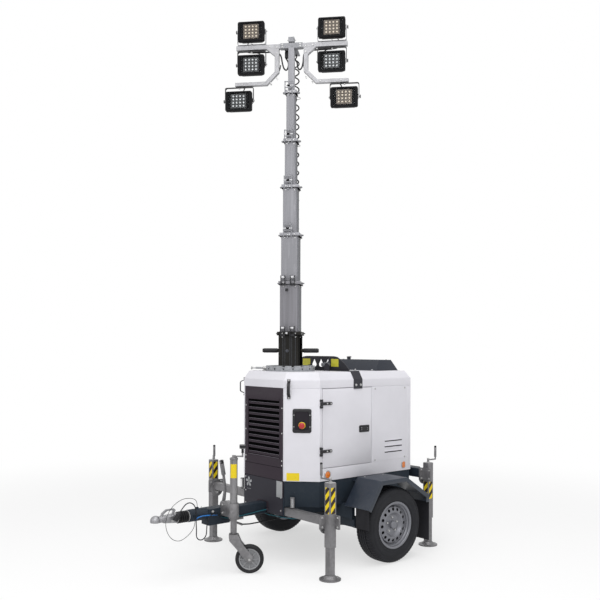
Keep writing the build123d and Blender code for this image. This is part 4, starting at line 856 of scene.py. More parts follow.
@made("jockey_hub", hub_grey, "jockey_wheel", "galvanised", 0.8)
def jockey_hub(bm):
    place = frame_at(jockey_axle, sideways)
    hoop(bm, place, [(6.2, -24), (20, -24), (22, -22), (24, -7), (66, -5), (70, -17), (80, -19), (80, 19), (70, 17),
                     (66, 5), (24, 7), (22, 22), (20, 24), (6.2, 24)], 48)
    for k in range(8):
        turn = place @ Matrix.Rotation(math.pi / 4 * k, 4, "Z")
        slab(bm, turn @ Matrix.Rotation(math.pi / 2, 4, "X"), [(20, -22), (74, -17), (74, 17), (20, 22)], -4, 4)


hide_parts("jockey_wheel")
solid("jockey_axle_nuts", lambda bm: [
    bolt(bm, frame_at(jockey_axle + way * 0.0355 * sideways, way * sideways), 8) for way in (1, -1)],
    bolt_steel, "jockey_fork")

# Canopy: off-white powder-coated sheet steel panels, bolted to the tub. A screwed access panel closes the
# rear of each side, with three pressed air slots in it.
canopy_white = paint("canopy white", tone(214, 213, 219), 0.42, 0.03, 0.015, gloss=0.3)
# Near-black: the colour of the panel seams, the ring's arrows and the pulleys, and painted shade in the air slots,
# the intake, under the collars and on the black mast section's sides
black_and_painted_shade = paint("shadow gap", tone(8, 8, 9), 0.8, 0.0, 0.0, gloss=0.0)
for name in ("canopy_corners", "canopy_walls"):
    coat(name, canopy_white, 2.5, 3)
side_skin = 459          # millimetres from the middle to the side panels
for side_name, side in both_sides:
    side_face = facing(0, side * side_skin, 0, (0, side, 0))
    way = -side

    @made(f"access_panel_{side_name}", canopy_white, "chassis", "canopy_white", 0.8)
    def access_panel(bm):
        place = side_face @ Matrix.Translation((way * -0.246, 1.061, 0))
        plates(bm, place, [(408, 608, 3, -0.5), (408, 608, 3, 1.2)])

    @made(f"access_screws_{side_name}", bolt_steel, "chassis", "trim_black")
    def access_screws(bm):
        for ahead, up in ((-70, 1352), (-425, 1352), (-70, 769), (-425, 769)):
            turned(bm, side_face @ Matrix.Translation((way * ahead / 1000, up / 1000, 0.0012)),
                   [(8, 0), (8, 1), (6.5, 1.5), (5, 1.6), (4.4, 4.5), (2, 5)], 20)

    # Black plates in the three slots: painted shade of their openings
    @made(f"air_slot_shade_{side_name}", black_and_painted_shade, "chassis", "trim_black")
    def air_slot_shade(bm):
        for up in (914, 868, 823):
            place = side_face @ Matrix.Translation((way * -0.2875, up / 1000, 0.0012))
            plates(bm, place, [(207, 9, 4.4, 0), (207, 9, 4.4, 0.4)])

    @made(f"slot_hoods_{side_name}", canopy_white, "chassis", "canopy_white")
    def slot_hoods(bm):
        for up in (914, 868, 823):
            place = side_face @ Matrix.Translation((way * -0.2875, up / 1000 + 0.0085, 0.0012))
            plates(bm, place, [(213, 11, 5, 0), (212, 8, 4, 3.4), (206, 4, 2, 4.2)])

# Doors: one lift-off white sheet panel on each side. It hangs on two black cast hinges, bolted through the
# sheet, and closes with a black paddle latch.
trim_black = paint("black powder coat", tone(40, 40, 43), 0.45, 0.12, 0.02, gloss=0.25)
coat("door_hinges", trim_black, 1.5)
for side_name, side in both_sides:
    body = f"door_{side_name}"
    coat(body, canopy_white, 2.5, 3)
    side_face = facing(0, side * side_skin, 0, (0, side, 0))
    way = -side

    @made(f"hinge_arms_{side_name}", trim_black, body, "trim_black")
    def hinge_arms(bm):
        for up in (884, 1253):
            place = side_face @ Matrix.Translation((way * 0.466, up / 1000, 0))
            plates(bm, place, [(117, 23.4, 11, -0.3), (117, 23.4, 11, 7.6), (114, 20, 9.6, 9)])
            turned(bm, upright(525, side * 473, up - 15.6), [(11.6, 0), (11.6, 31.2)], 28)

    @made(f"hinge_bolts_{side_name}", bolt_steel, body)
    def hinge_bolts(bm):
        for up in (884, 1253):
            for ahead in (424, 462):
                bolt(bm, side_face @ Matrix.Translation((way * ahead / 1000, up / 1000, 0.009)), 5.5)

    @made(f"door_latch_{side_name}", trim_black, body, "trim_black", 0.8)
    def latch(bm):
        place = side_face @ Matrix.Translation((way * 0.056, 1.035, 0))
        plates(bm, place, [(112, 56, 9, -0.4), (112, 56, 9, 5), (106, 50, 7, 7)])
        grip = place @ Matrix.Translation((way * 0.007, 0.001, 0.007))
        plates(bm, grip, [(70, 24, 8, 0), (70, 24, 8, 7), (60, 17, 6, 11)])
        turned(bm, place @ Matrix.Translation((way * -0.040, 0, 0.006)), [(9, 0), (9, 4), (6, 5)], 24)

# Front panel: dark grey sheet steel with a ten-blade air intake in a raised frame, and a thin skirt below.
# Both are screwed on from the front.
panel_dark = paint("front panel paint", tone(53, 46, 53), 0.5, 0.1, 0.01, gloss=0.1)
coat("front_panel", panel_dark, 1.2)
panel_face = facing(727, 0, 0, (1, 0, 0))


@made("intake_frame", panel_dark, "chassis", "panel_dark", 0.8)
def intake_frame(bm):
    # Four rails round the opening; the panel's X runs to the trailer's left
    for low, high in (((-213, 818), (213, 826)), ((-213, 1276), (213, 1284)), ((-213, 818), (-204, 1284)),
                      ((204, 818), (213, 1284))):
        box(bm, panel_face, (low[0], low[1], -3), (high[0], high[1], 1.6))


# Lighter rods along each blade's lip and along the intake's lower rail: painted highlights on those edges
def build_blade_highlights(bm):
    for k in range(10):
        up = 848 + 44.4 * k
        tube(bm, [spot(721.5, -203.5, up + 0.5), spot(721.5, 203.5, up + 0.5)], 0.0017, 8)
    tube(bm, [spot(727.6, -204, 824), spot(727.6, 204, 824)], 0.0016, 8)


blade_lip_highlight = paint("painted blade lip highlights", tone(98, 93, 102), 0.4, 0.0, 0.0)
solid("blade_lip_highlights", build_blade_highlights, blade_lip_highlight, "chassis", "panel_dark")
solid("blade_shadows", lambda bm: [
    box(bm, panel_face, (-203.8, 849.5 + 44.4 * k, -6.5), (203.8, 874 + 44.4 * k, -5.5)) for k in range(10)],
    black_and_painted_shade, "chassis", "panel_dark")
# A black sheet behind the blades: painted shade inside the intake
solid("intake_shade_sheet", lambda bm: box(bm, panel_face, (-204, 826, -24.6), (204, 1276, -22)), black_and_painted_shade, "chassis",
    "panel_dark")


@made("panel_seams", black_and_painted_shade, "chassis", "panel_dark")
def panel_seams(bm):
    for up in (752, 651):
        box(bm, panel_face, (-249.5, up - 1.3, -1), (249.5, up + 1.3, 3.4 if up < 700 else 0.4))


@made("panel_screws", bolt_steel)
def panel_screws(bm):
    for left, rows, proud in ((236, (1215, 1020, 806, 770), 0), (230, (632, 520, 420), 0.0033)):
        for side in (-1, 1):
            for up in rows:
                turned(bm, panel_face @ Matrix.Translation((side * left / 1000, up / 1000, proud)),
                       [(6, 0), (6, 1), (4.5, 3), (2, 3.4)], 16)


lower_panel = paint("skirt paint", tone(52, 51, 58), 0.5, 0.1, 0.01, gloss=0.12)
solid("skirt_plate", lambda bm: [
    box(bm, panel_face, (-249.6, 470, 3.25), (249.6, 649, 3.8)),
    box(bm, panel_face, (-249.6, 386, 3.25), (-76, 470.2, 3.8)),
    box(bm, panel_face, (76, 386, 3.25), (249.6, 470.2, 3.8))], lower_panel, "chassis", "panel_dark")
label_grey = paint("blank plate", tone(158, 160, 162), 0.3, 0.0, 0.02, 0.4)
solid("blank_plate", lambda bm: label(bm, panel_face @ Matrix.Translation((0.2115, 0.584, 0.0038)), 72, 126, 3, 0.8),
      label_grey, "chassis", "ring_grey")


@made("fan_mark", label_grey, "chassis", "ring_grey")
def fan_mark(bm):
    # A generic fan mark: five blades round a small centre, with a row of dots below it
    centre = panel_face @ Matrix.Translation((-0.188, 0.594, 0.0038))
    for k in range(5):
        place = centre @ Matrix.Rotation(2 * math.pi / 5 * k + 0.4, 4, "Z")
        blade = [(8, -3), (22, -14), (36, -12), (41, 2), (34, 8), (20, 5), (9, 4)]
        slab(bm, place, blade, 0, 0.5)
    turned(bm, centre, [(5.5, 0), (5.5, 0.5)], 16)
    for k in range(4):
        turned(bm, centre @ Matrix.Translation((-0.02 + 0.014 * k, -0.056, 0)), [(3, 0), (3, 0.5)], 12)

# Emergency stop: a black plastic frame round a recess on the left front corner, held by four screws, with a
# red mushroom button on a yellow collar.
corner_face = facing(629.5, 361.5, 0, (1, 1, 0))


@made("stop_frame", trim_black, "chassis", "trim_black")
def stop_frame(bm):
    place = corner_face @ Matrix.Translation((0, 1.121, 0))
    plates(bm, place, [(146, 186, 16, -0.5), (146, 186, 16, 4.5), (140, 180, 14, 6.2), (112, 146, 12, 6.2),
        (106, 140, 10, 1.0)])


recess_grey = paint("stop recess", tone(36, 33, 39), 0.5, 0.05, 0.0, gloss=0.15)
solid("stop_recess", lambda bm: label(bm, corner_face @ Matrix.Translation((0, 1.121, 0.001)), 106, 140, 10, 0.4),
      recess_grey, "chassis", "trim_black")
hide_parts("stop_button")
stop_place = corner_face @ Matrix.Translation((0, 1.086, 0.0012))
stop_red = paint("stop button red", tone(172, 40, 40), 0.3, 0.0, 0.0, gloss=0.5)
solid("stop_button_cap", lambda bm: turned(bm, stop_place, [
    (12, 12), (12, 18), (22, 20), (24, 24), (23, 28), (18, 31.5), (8, 33)], 40), stop_red, "chassis", "amber_lens")
solid("stop_button_collar", lambda bm: turned(bm, stop_place, [(27, 0), (27, 4), (20, 6), (20, 13), (12, 13)], 40),
      yellow_label, "chassis", "amber_lens")
solid("stop_frame_screws", lambda bm: [
    turned(bm, corner_face @ Matrix.Translation((x, 1.121 + y, 0.006)), [(4.5, 0), (3.5, 2.4), (1.5, 2.8)], 16)
    for x in (-0.062, 0.062) for y in (-0.045, 0.045)], bolt_steel)
solid("corner_label", lambda bm: label(bm, corner_face @ Matrix.Translation((-0.069, 0.688, 0)), 100, 60, 3, 0.5),
      yellow_label, "chassis", "amber_lens")

# Grab handles: black flat steel bars, bent into a shallow hoop and bolted across the roof seam on both
# front facets.
for side_name, side in both_sides:
    face = facing(702, side * 289, 1365, (1, side, 0))

    def build_grab_handle(bm):
        path = [(-76, 0.5), (-60, 0.5), (-52, 3), (-44, 24), (-40, 30), (-32, 34.5), (32, 34.5), (40, 30), (44, 24),
                (52, 3), (60, 0.5), (76, 0.5)]
        before = None
        for i, (along, out) in enumerate(path):
            behind, beyond = path[max(i - 1, 0)], path[min(i + 1, len(path) - 1)]
            run = Vector((beyond[0] - behind[0], beyond[1] - behind[1])).normalized() * 3.2
            ring = [bm.verts.new(face @ (Vector((x, along - way * run.y, out + way * run.x + 2.5)) / 1000))
                    for x, way in ((-12, -1), (12, -1), (12, 1), (-12, 1))]
            if before:
                for k in range(4):
                    bm.faces.new((before[k - 1], before[k], ring[k], ring[k - 1]))
            else:
                bm.faces.new(ring[::-1])
            before = ring
        bm.faces.new(before)

    solid(f"grab_handle_{side_name}", build_grab_handle, trim_black, "chassis", "trim_black", 1.0)
    solid(f"handle_bolts_{side_name}", lambda bm: [
        bolt(bm, face @ Matrix.Translation((0, y, 0.0055)), 5.5) for y in (-0.068, 0.068)],
        bolt_steel)
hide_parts("grab_handles")

# Roof: the same white sheet, with a dark lifting beam on a strap bolted down over both sides, and the
# exhaust cover at the rear.
coat("canopy_roof", canopy_white, 3.0, 3)
beam_paint = paint("lifting beam paint", tone(52, 52, 57), 0.5, 0.12, 0.02, gloss=0.16)
beam_face = facing(122, 0, 0, (1, 0, 0))


def build_beam_plate(bm):
    outlines = [[(-372, 1498), (-300, 1563), (-215, 1611), (-170, 1617), (170, 1617), (215, 1611), (300, 1563),
        (372, 1498)]]
    for middle in (-72, 14, 100):
        outlines.append([(middle + x, y) for x, y in (
            (0, 1600), (8, 1588), (28, 1557), (32, 1548), (31, 1540), (24, 1531), (12, 1527), (0, 1526), (-12, 1527),
            (-24, 1531), (-31, 1540), (-32, 1548), (-28, 1557), (-8, 1588))])
    edges = []
    for outline in outlines:
        points = [bm.verts.new(beam_face @ Vector((x / 1000, y / 1000, 0))) for x, y in outline]
        edges += [bm.edges.new((points[k - 1], points[k])) for k in range(len(points))]
    made = bmesh.ops.triangle_fill(bm, use_beauty=True, edges=edges)
    faces = [item for item in made["geom"] if isinstance(item, bmesh.types.BMFace)]
    grown = bmesh.ops.extrude_face_region(bm, geom=faces, use_keep_orig=True)
    bmesh.ops.translate(bm, vec=(0.010, 0, 0), verts=[item for item in grown["geom"] if isinstance(item,
        bmesh.types.BMVert)])


def build_beam_strap(bm):
    # One flat bar, folded down over the roof's chamfers: outer line first, then the inner one back
    outer = [(465, 1360), (465, 1435.5), (424, 1501), (-424, 1501), (-465, 1435.5), (-465, 1360)]
    inner = [(459.3, 1360), (459.3, 1434), (421, 1495.3), (-421, 1495.3), (-459.3, 1434), (-459.3, 1360)]
    slab(bm, beam_face, outer + inner[::-1], -42, 52)


beam_plate = solid("beam_plate", build_beam_plate, beam_paint, "chassis", "chassis_dark", smooth=False)
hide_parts("lifting_beam")
solid("beam_strap", build_beam_strap, beam_paint, "chassis", "chassis_dark", 1.0)
solid("roof_brackets", lambda bm: [
    box(bm, facing(180, 0, 0, (1, 0, 0)), (-88, 1496, -3), (-42, 1545, 3)),
    rings(bm, facing(180, 146, 0, (1, 0, 0)), [([(-28, 1496), (28, 1496), (28, 1536), (20, 1552), (0, 1560),
        (-20, 1552),
                                                         (-28, 1536)], high) for high in (-3, 3)])],
    beam_paint, "chassis", "chassis_dark", 0.8)
solid("beam_bolts", lambda bm: [
    bolt(bm, facing(127 + along, side * 465, 1390, (0, side, 0)), 8) for side in (1, -1) for along in (-26,
        26)]
    + [bolt(bm, upright(127 + along, side * 400, 1501), 8)
       for side in (1, -1) for along in (-26, 26)], bolt_steel)
olive_label = paint("faded yellow label", tone(206, 200, 66), 0.35, 0.0, 0.02)
solid("beam_labels", lambda bm: [label(bm, beam_face @ Matrix.Translation((x, 1.562, 0.010)), wide, 64)
                                 for x, wide in ((0.190, 90), (-0.170, 100))], olive_label, "chassis", "amber_lens")
knob_grey = paint("roof knob", tone(96, 98, 102), 0.5, 0.1, 0.05)
solid("roof_knob", lambda bm: [
    turned(bm, upright(160, 110, 1495), [(12, -2), (12, 30), (16, 34), (16, 66), (12, 70)], 24),
    plates(bm, frame_at(spot(160, 110, 1495), (0, 0, 1), (-0.64, -0.77, 0)),
        [(70, 22, 10, 38), (78, 26, 12, 44), (78, 26, 12, 58), (70, 20, 9, 66)])],
    knob_grey, "chassis", "rubber_black")
cover_grey = paint("exhaust cover paint", tone(54, 57, 64), 0.5, 0.1, 0.02, gloss=0.14)
coat("exhaust_cover", cover_grey, 3.0)


@made("cover_bolts", bolt_steel)
def cover_trim(bm):
    for side in (1, -1):
        for ahead in (-395, -283):
            turned(bm, upright(ahead, side * 270, 1585), [(8, 0), (8, 1.5), (5, 4)], 20)
    for left in (-300, -100, 100, 300):
        turned(bm, upright(-193, left, 1502), [(8, -5), (8, 1.5), (5, 4)], 20)


@made("rain_flap", galvanised, "chassis", "galvanised", 0.5)
def rain_flap(bm):
    place = frame_at(spot(-345, -143, 1608), (0.12, 0, 1), (0, 1, 0))
    turned(bm, place, [(19, -2), (20.5, 0), (20.5, 3), (8, 5)], 32)
    rod(bm, spot(-368, -166, 1604), spot(-368, -120, 1604), 0.004)
    box(bm, place, (-6, 18, -6), (6, 26, 2))

# Index ring: a grey cast collar with teeth that a sprung pin locks, marked with small dark arrows.
ring_cast = zinc("ring casting", tone(146, 148, 152), 70.0, 0.5, 0.15)
coat("index_ring", ring_cast, 2.0)
mast_middle = spot(450, 0, 0)


@made("ring_marks", black_and_painted_shade, "chassis", "panel_dark")
def ring_marks(bm):
    for k in range(16):
        angle = math.pi * k / 8 + 0.2
        place = frame_at(mast_middle + Vector((0.1935 * math.cos(angle), 0.1935 * math.sin(angle), 1.513)),
                         (math.cos(angle), math.sin(angle), 0))
        slab(bm, place, [(-8, 7), (8, 7), (0, -8)], 5.8, 6.9)


@made("ring_pin", bolt_steel, "chassis", "ring_grey", 0.4)
def ring_pin(bm):
    turn = math.radians(-50)
    out = Vector((math.cos(turn), math.sin(turn), 0))
    foot = mast_middle + 0.2 * out + Vector((0, 0, 1.519))
    place = frame_at(foot, out)
    turned(bm, place, [(14, 0), (14, 30), (11, 32), (8, 34), (8, 84)], 28)
    box(bm, place, (-30, -23, 3), (30, -16, 30))
    for x in (-22, 22):
        bolt(bm, frame_at(place @ Vector((x / 1000, -0.016, 0.018)), (0, 0, 1), out), 5)
    turned(bm, place, [(6, 84), (6, 122), (14, 124), (14, 130), (9, 132)], 28)

# Road lights: round amber reflectors in front and oblong ones behind, on silver rims, and two rear lamps
# with red and amber lenses.
def lens(name, edge_colour, colour):
    # Moulded plastic with small facets
    material, wire = start(name)
    facets = wire.node("TexVoronoi", {"feature": "DISTANCE_TO_EDGE"}, {
        "Vector": wire.node("TexCoord", out=3), "Scale": 130.0})
    return dress(material, Base_Color=facets.above(0.2, 0.2).mix(edge_colour, colour), Roughness=0.12,
        Coat_Weight=0.6,
                 Normal=wire.node("Bump", None, {"Strength": 0.25, "Distance": 0.001, "Height": facets}))


amber = lens("amber lens", tone(196, 96, 12), tone(240, 142, 26))
red_lens = lens("red lens", tone(120, 10, 10), tone(186, 26, 22))


@made("reflector_rims", bolt_steel, "chassis", "cast_silver")
def reflector_rims(bm):
    for side in (1, -1):
        place = facing(454, side * side_skin, 701, (0, side, 0))
        turned(bm, place, [(34, 0), (34.5, 2), (34.5, 6), (32, 8.6), (27, 8), (26, 4)], 40)
        place = facing(-409, side * side_skin, 701, (0, side, 0))
        plates(bm, place, [(44, 60, 17, 0), (44, 60, 17, 5), (41, 57, 15, 6.6), (36, 52, 13, 6.6), (35, 51, 13, 4)])


@made("amber_lenses", amber, "chassis", "amber_lens")
def reflectors(bm):
    for side in (1, -1):
        place = facing(454, side * side_skin, 701, (0, side, 0))
        turned(bm, place, [(26, 3), (26, 6), (24, 8), (17, 9.2), (8, 9.8)], 40)
        place = facing(-409, side * side_skin, 701, (0, side, 0))
        plates(bm, place, [(35, 51, 13, 3), (35, 51, 13, 7), (31, 47, 11, 8.8)])
        lamp = facing(-711, side * 300, 610, (-1, 0, 0))
        plates(bm, lamp @ Matrix.Translation((side * 0.052, 0, 0)), [(64, 60, 6, -4), (64, 60, 6, 1), (60, 56, 5, 3)])


@made("rear_lamp_bodies", trim_black, "chassis", "trim_black")
def rear_lamps(bm):
    for side in (1, -1):
        place = facing(-711, side * 300, 610, (-1, 0, 0))
        plates(bm, place, [(180, 76, 10, -38), (180, 76, 10, -4), (176, 72, 9, -1.5), (170, 66, 7, -1.5),
            (168, 64, 7, -3)])


solid("rear_lenses", lambda bm: [
    plates(bm, facing(-711, side * (300 - 32), 610, (-1, 0, 0)), [(98, 60, 6, -4), (98, 60, 6, 1), (94, 56, 5,
        3)]) for side in (1, -1)],
    red_lens, "chassis", "amber_lens")
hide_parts("road_lights")

# Engine and alternator: one plain block behind the air intake, sprayed dark grey and bolted to the tub's
# floor.
engine_grey = paint("engine grey", tone(62, 64, 68), 0.5, 0.1, 0.1, gloss=0.2)
coat("engine_block", engine_grey, 4.0)

# Mast: square galvanised tubes one inside the other. The lowest is painted black and carries two turning
# handles; each of the others has a collar with wear pads, a cable pulley and a tab for the curly cable.
mast_turn = math.radians(42)
mast_front = Vector((math.cos(mast_turn), math.sin(mast_turn), 0))
mast_across = Vector((-math.sin(mast_turn), math.cos(mast_turn), 0))
mast_face = frame_at(mast_middle, mast_front)


def mast_point(across, up, out):
    return mast_face @ (Vector((across, up, out)) / 1000)


def on_mast(across, up, out, facing, upwards=(0, 0, 1)):
    return frame_at(mast_point(across, up, out), facing, upwards)


mast_black = paint("mast black", tone(31, 30, 28), 0.5, 0.12, 0.02, gloss=0.12)
mast_dull = zinc("dull mast galvanising", tone(124, 123, 128), 60.0, 0.46, 0.3, 0.04)
mast_zinc = zinc("mast galvanising", tone(142, 142, 147), 60.0, 0.46, 0.3, 0.04)
# A grey for the lock rod's end, and for the painted side shade on the mast and the painted highlights on the black
# section's tracks
grey_and_painted_light = paint("grey parts, painted side shade and highlights", tone(74, 76, 82), 0.45, 0.05, 0.02, gloss=0.2)
collar_zinc = zinc("collar galvanising", tone(130, 131, 135), 55.0, 0.5, 0.3)
mast_sections = ((173, 1815), (155, 2226), (140, 2620), (116, 3014), (92, 3391), (72, 3789), (50, 4140))
for i, (width, top) in enumerate(mast_sections):
    body = f"mast_{i}"
    coat(f"mast_section_{i}", (mast_black, mast_dull)[i] if i < 2 else mast_zinc, 1.2)
    if i == 6:
        continue
    half, rim = width / 2, width / 2 + 12
    below = top - 1250 if i else 1545

    @made(f"side_shade_strips_{i}", grey_and_painted_light if i else black_and_painted_shade, body, "mast_black")
    def strips(bm):
        # Darker strips over both side faces, painted shade of those faces, and a darker line down the front face near
        # its edge, painted shade in the crease of its rolled edge
        for way in (1, -1):
            low, high = sorted((way * half, way * (half + 0.25)))
            box(bm, mast_face, (low, below, -half + 8), (high, top - 28, half - 3))
        box(bm, mast_face, (half - 9, below, half), (half - 5, top - 28, half + 0.25))

    inner = mast_sections[i + 1][0] / 2
    slot = "mast_black" if i == 0 else "mast_silver"
    rollers = (-50, 28) if i < 2 else ()

    @made(f"collar_screws_{i}", bolt_steel, body)
    def collar(bm):
        # Pad screws on all four faces of the collar, and more on the tube's four faces below it
        for way in (1, -1):
            for across in (-half * 0.55, half * 0.55):
                bolt(bm, on_mast(way * rim, top - 13, across, way * mast_across), 4.6)
            for across in (-half * 0.62, half * 0.62):
                bolt(bm, on_mast(across, top - 13, way * rim, way * mast_front), 4.6)
                bolt(bm, on_mast(across, top - 42, way * half, way * mast_front), 4.6)
                bolt(bm, on_mast(way * half, top - 42, across, way * mast_across), 4.6)

    @made(f"collar_pads_{i}", trim_black, body, "trim_black", 0.8)
    def pads(bm):
        # Nylon pads that show inside the collar's top
        for k in range(4):
            turn = mast_face @ Matrix.Rotation(math.pi / 2 * k, 4, "Y")
            box(bm, turn, (-inner * 0.7, top - 2, inner + 0.8), (inner * 0.7, top + 4, inner + 9))

    def build_rollers(bm):
        for middle in rollers:
            place = on_mast(middle, top + 30, rim + 10, mast_across)
            turned(bm, place, [(9, -10), (10, -9), (10, -5), (8, -4), (8, 4), (10, 5), (10, 9), (9, 10)], 24)
            turned(bm, place, [(4, -20), (4, 20)], 12)

    def build_roller_plates(bm):
        for middle in rollers:
            for x in (middle - 19, middle + 15):
                box(bm, mast_face, (x, top - 36, rim - 1), (x + 5, top + 44, rim + 20))
            box(bm, mast_face, (middle - 19, top - 36, rim - 1), (middle + 19, top - 18, rim + 3))

    def build_pulley_bracket(bm):
        # A flat frame on the front of the collar, with a window between its two posts
        for low, high in (((-50, -34), (-42, 70)), ((11, -34), (19, 70)), ((-50, 62), (19, 70)),
            ((-50, 14), (19, 22))):
            box(bm, mast_face, (low[0], top + low[1], rim - 1), (high[0], top + high[1], rim + 6))
        box(bm, mast_face, (-22, top - 42, half), (-8, top - 4, half + 12))

    pulley_place = on_mast(-16, top + 34, rim + 3, mast_across)

    def build_pulley(bm):
        turned(bm, pulley_place, [(7, -11), (8, -10), (8, -7), (6, -3), (6, 3), (8, 7), (8, 10), (7, 11)], 24)

    def build_pulley_pin(bm):
        turned(bm, pulley_place, [(4, -38), (4, 38)], 16)
        for x in (-16, -2):
            bolt(bm, on_mast(x, top - 16, rim, mast_front), 4)

    if rollers:
        solid(f"roller_plates_{i}", build_roller_plates, trim_black, body, "trim_black", 0.6)
        solid(f"guide_rollers_{i}", build_rollers, bright_steel, body, "cast_silver")
    else:
        solid(f"pulley_bracket_{i}", build_pulley_bracket, collar_zinc, body, "mast_silver", 0.8)
        solid(f"mast_pulley_{i}", build_pulley, black_and_painted_shade, body, "cast_silver")
        solid(f"pulley_pin_{i}", build_pulley_pin, bright_steel, body)

    @made(f"collar_joint_shade_{i}", black_and_painted_shade, body, "mast_black")
    def collar_shade(bm):
        # Painted shade in the open joint between the collar's lower lip and the tube
        for way in (1, -1):
            low, high = sorted((way * (half + 0.2), way * (rim + 0.6)))
            box(bm, mast_face, (low, top - 29, -rim), (high, top - 26, rim))
        box(bm, mast_face, (-rim, top - 29, half + 0.2), (rim, top - 26, rim + 0.6))

    @made(f"side_tabs_{i}", collar_zinc if i else mast_black, body, slot, 1.0)
    def side_tabs(bm):
        # Rounded tabs beyond the collar's sides guide the cable and the hoist rope
        for way in (1, -1):
            place = mast_face @ Matrix.Translation((way * (rim + 5) / 1000, (top - 13) / 1000, 0))
            plates(bm, place @ Matrix.Rotation(math.pi / 2, 4, "X"), [(34, 44, 14, -4), (34, 44, 14, 4)])

    def build_cable_ring(bm):
        # A steel ring behind the collar that keeps the curly cable in line
        eye = mast_point(18, top - 13, -137)
        loop = [eye + 0.036 * Vector((math.cos(2 * math.pi * k / 28), math.sin(2 * math.pi * k / 28), 0))
                for k in range(29)]
        tube(bm, loop, 0.003)
        rod(bm, mast_point(18, top - 13, -rim + 1), mast_point(18, top - 13, -101), 0.004)

    if rim < 96:
        solid(f"cable_ring_{i}", build_cable_ring, bolt_steel, body)

solid("mast_handle_grips", lambda bm: [
    rings(bm, frame_at(mast_face @ Vector((way * 0.104, 1.663, 0)), way * mast_across), [
        (circle(18 + (0.6 if k % 2 else 0), 32), 6 + k * 8) for k in range(15)] + [(circle(14, 32), 127)])
    for way in (1, -1)], grip_rubber, "mast_0", "rubber_black")


@made("mast_track_highlights", grey_and_painted_light, "mast_0", "mast_black", 0.5)
def groove(bm):
    # Sunk tracks down the black section's front; the lighter lines along their rolled edges are painted highlights
    for x in (-50, -33, 8, 23, 52):
        box(bm, mast_face, (x - 1.5, 1540, 86.2), (x + 1.5, 1788, 88.2))


solid("lock_rod_end", lambda bm: [
    turned(bm, frame_at(mast_face @ Vector((-0.015, 1.66, 0.0865)), mast_front),
        [(13, 0), (13, 2), (7, 2.5), (7, 10), (5, 12)], 24),
    rod(bm, mast_face @ Vector((-0.019, 1.66, 0.092)), mast_face @ Vector((-0.019, 1.786, 0.092)), 0.006)],
    grey_and_painted_light, "mast_0")


@made("guide_rod", bright_steel, "mast_0")
def guide_rod(bm):
    # A bright rod that stands on the black section's collar, in front of the sections that slide past it
    rod(bm, mast_face @ Vector((-0.019, 1.786, 0.1025)), mast_face @ Vector((-0.019, 2.160, 0.1025)), 0.0085)
    box(bm, mast_face, (-27, 1796, 97), (-11, 1812, 104))


solid("rod_knob", lambda bm: turned(bm, frame_at(mast_face @ Vector((-0.019, 2.154, 0.1025)), (0, 0, 1), mast_front),
    [
    (9, -11), (10.6, -8), (10.9, 0), (10.6, 8), (9, 11)], 24), grip_rubber, "mast_0", "rubber_black")

# Lamp frame: welded galvanised square tube, clamped on the last section by a bolted block. The yokes are
# bent flat bar, plated on the upper lamps and black on the others, with a tilt knob at each pin.
frame_zinc = zinc("lamp frame galvanising", tone(158, 158, 161), 40.0, 0.48, 0.3)
yoke_black = paint("yoke black", tone(44, 44, 47), 0.45, 0.1, 0.02, gloss=0.22)
bar_top, bar_low, shelf_low, shelf_high = 4178, 4140, 3845, 3875


@made("lamp_frame_tubes", frame_zinc, "mast_6", "galvanised", 3.0, 3)
def lamp_frame(bm):
    box(bm, mast_face, (-460, bar_low, -19), (460, bar_top, 19))
    for side in (1, -1):
        outline = [(102, bar_top - 2), (102, shelf_low + 100), (202, shelf_low), (470, shelf_low), (470, shelf_high),
                   (216, shelf_high), (138, shelf_high + 78), (138, bar_low - 58), (206, bar_low), (206, bar_top - 2)]
        slab(bm, mast_face, [(side * x, y) for x, y in outline], -18, 18)


@made("frame_block", collar_zinc, "mast_6", "mast_silver", 2.0)
def frame_block(bm):
    box(bm, mast_face, (-92, bar_low - 2, -24), (92, bar_top + 3, 24))
    box(bm, mast_face, (-24, bar_top + 11, -27), (24, bar_top + 51, 27))
    box(bm, mast_face, (-10, bar_low - 2, -170), (46, bar_low + 10, -27))


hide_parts("lamp_frame")
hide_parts("lamp_frame")


@made("frame_bolts", bolt_steel, "mast_6")
def frame_bolts(bm):
    for across in (-74, 74):
        for up in (4150, 4168):
            bolt(bm, on_mast(across, up, 24, mast_front), 6)
            bolt(bm, on_mast(across, up, -24, -mast_front), 6)
    for way in (1, -1):
        for across, up in ((120, 4150), (178, 4158), (120, 4105), (120, 3900), (172, 3860), (240, 3860), (410, 3860)):
            bolt(bm, on_mast(way * across, up, 18 if up < 4140 else 19, mast_front), 5.5)
            bolt(bm, on_mast(way * across, up, -18 if up < 4140 else -19, -mast_front), 5.5)
        turned(bm, on_mast(way * 24, 4210, 0, way * mast_across), [(7, 0), (7, 3), (4, 4), (4, 12)], 16)


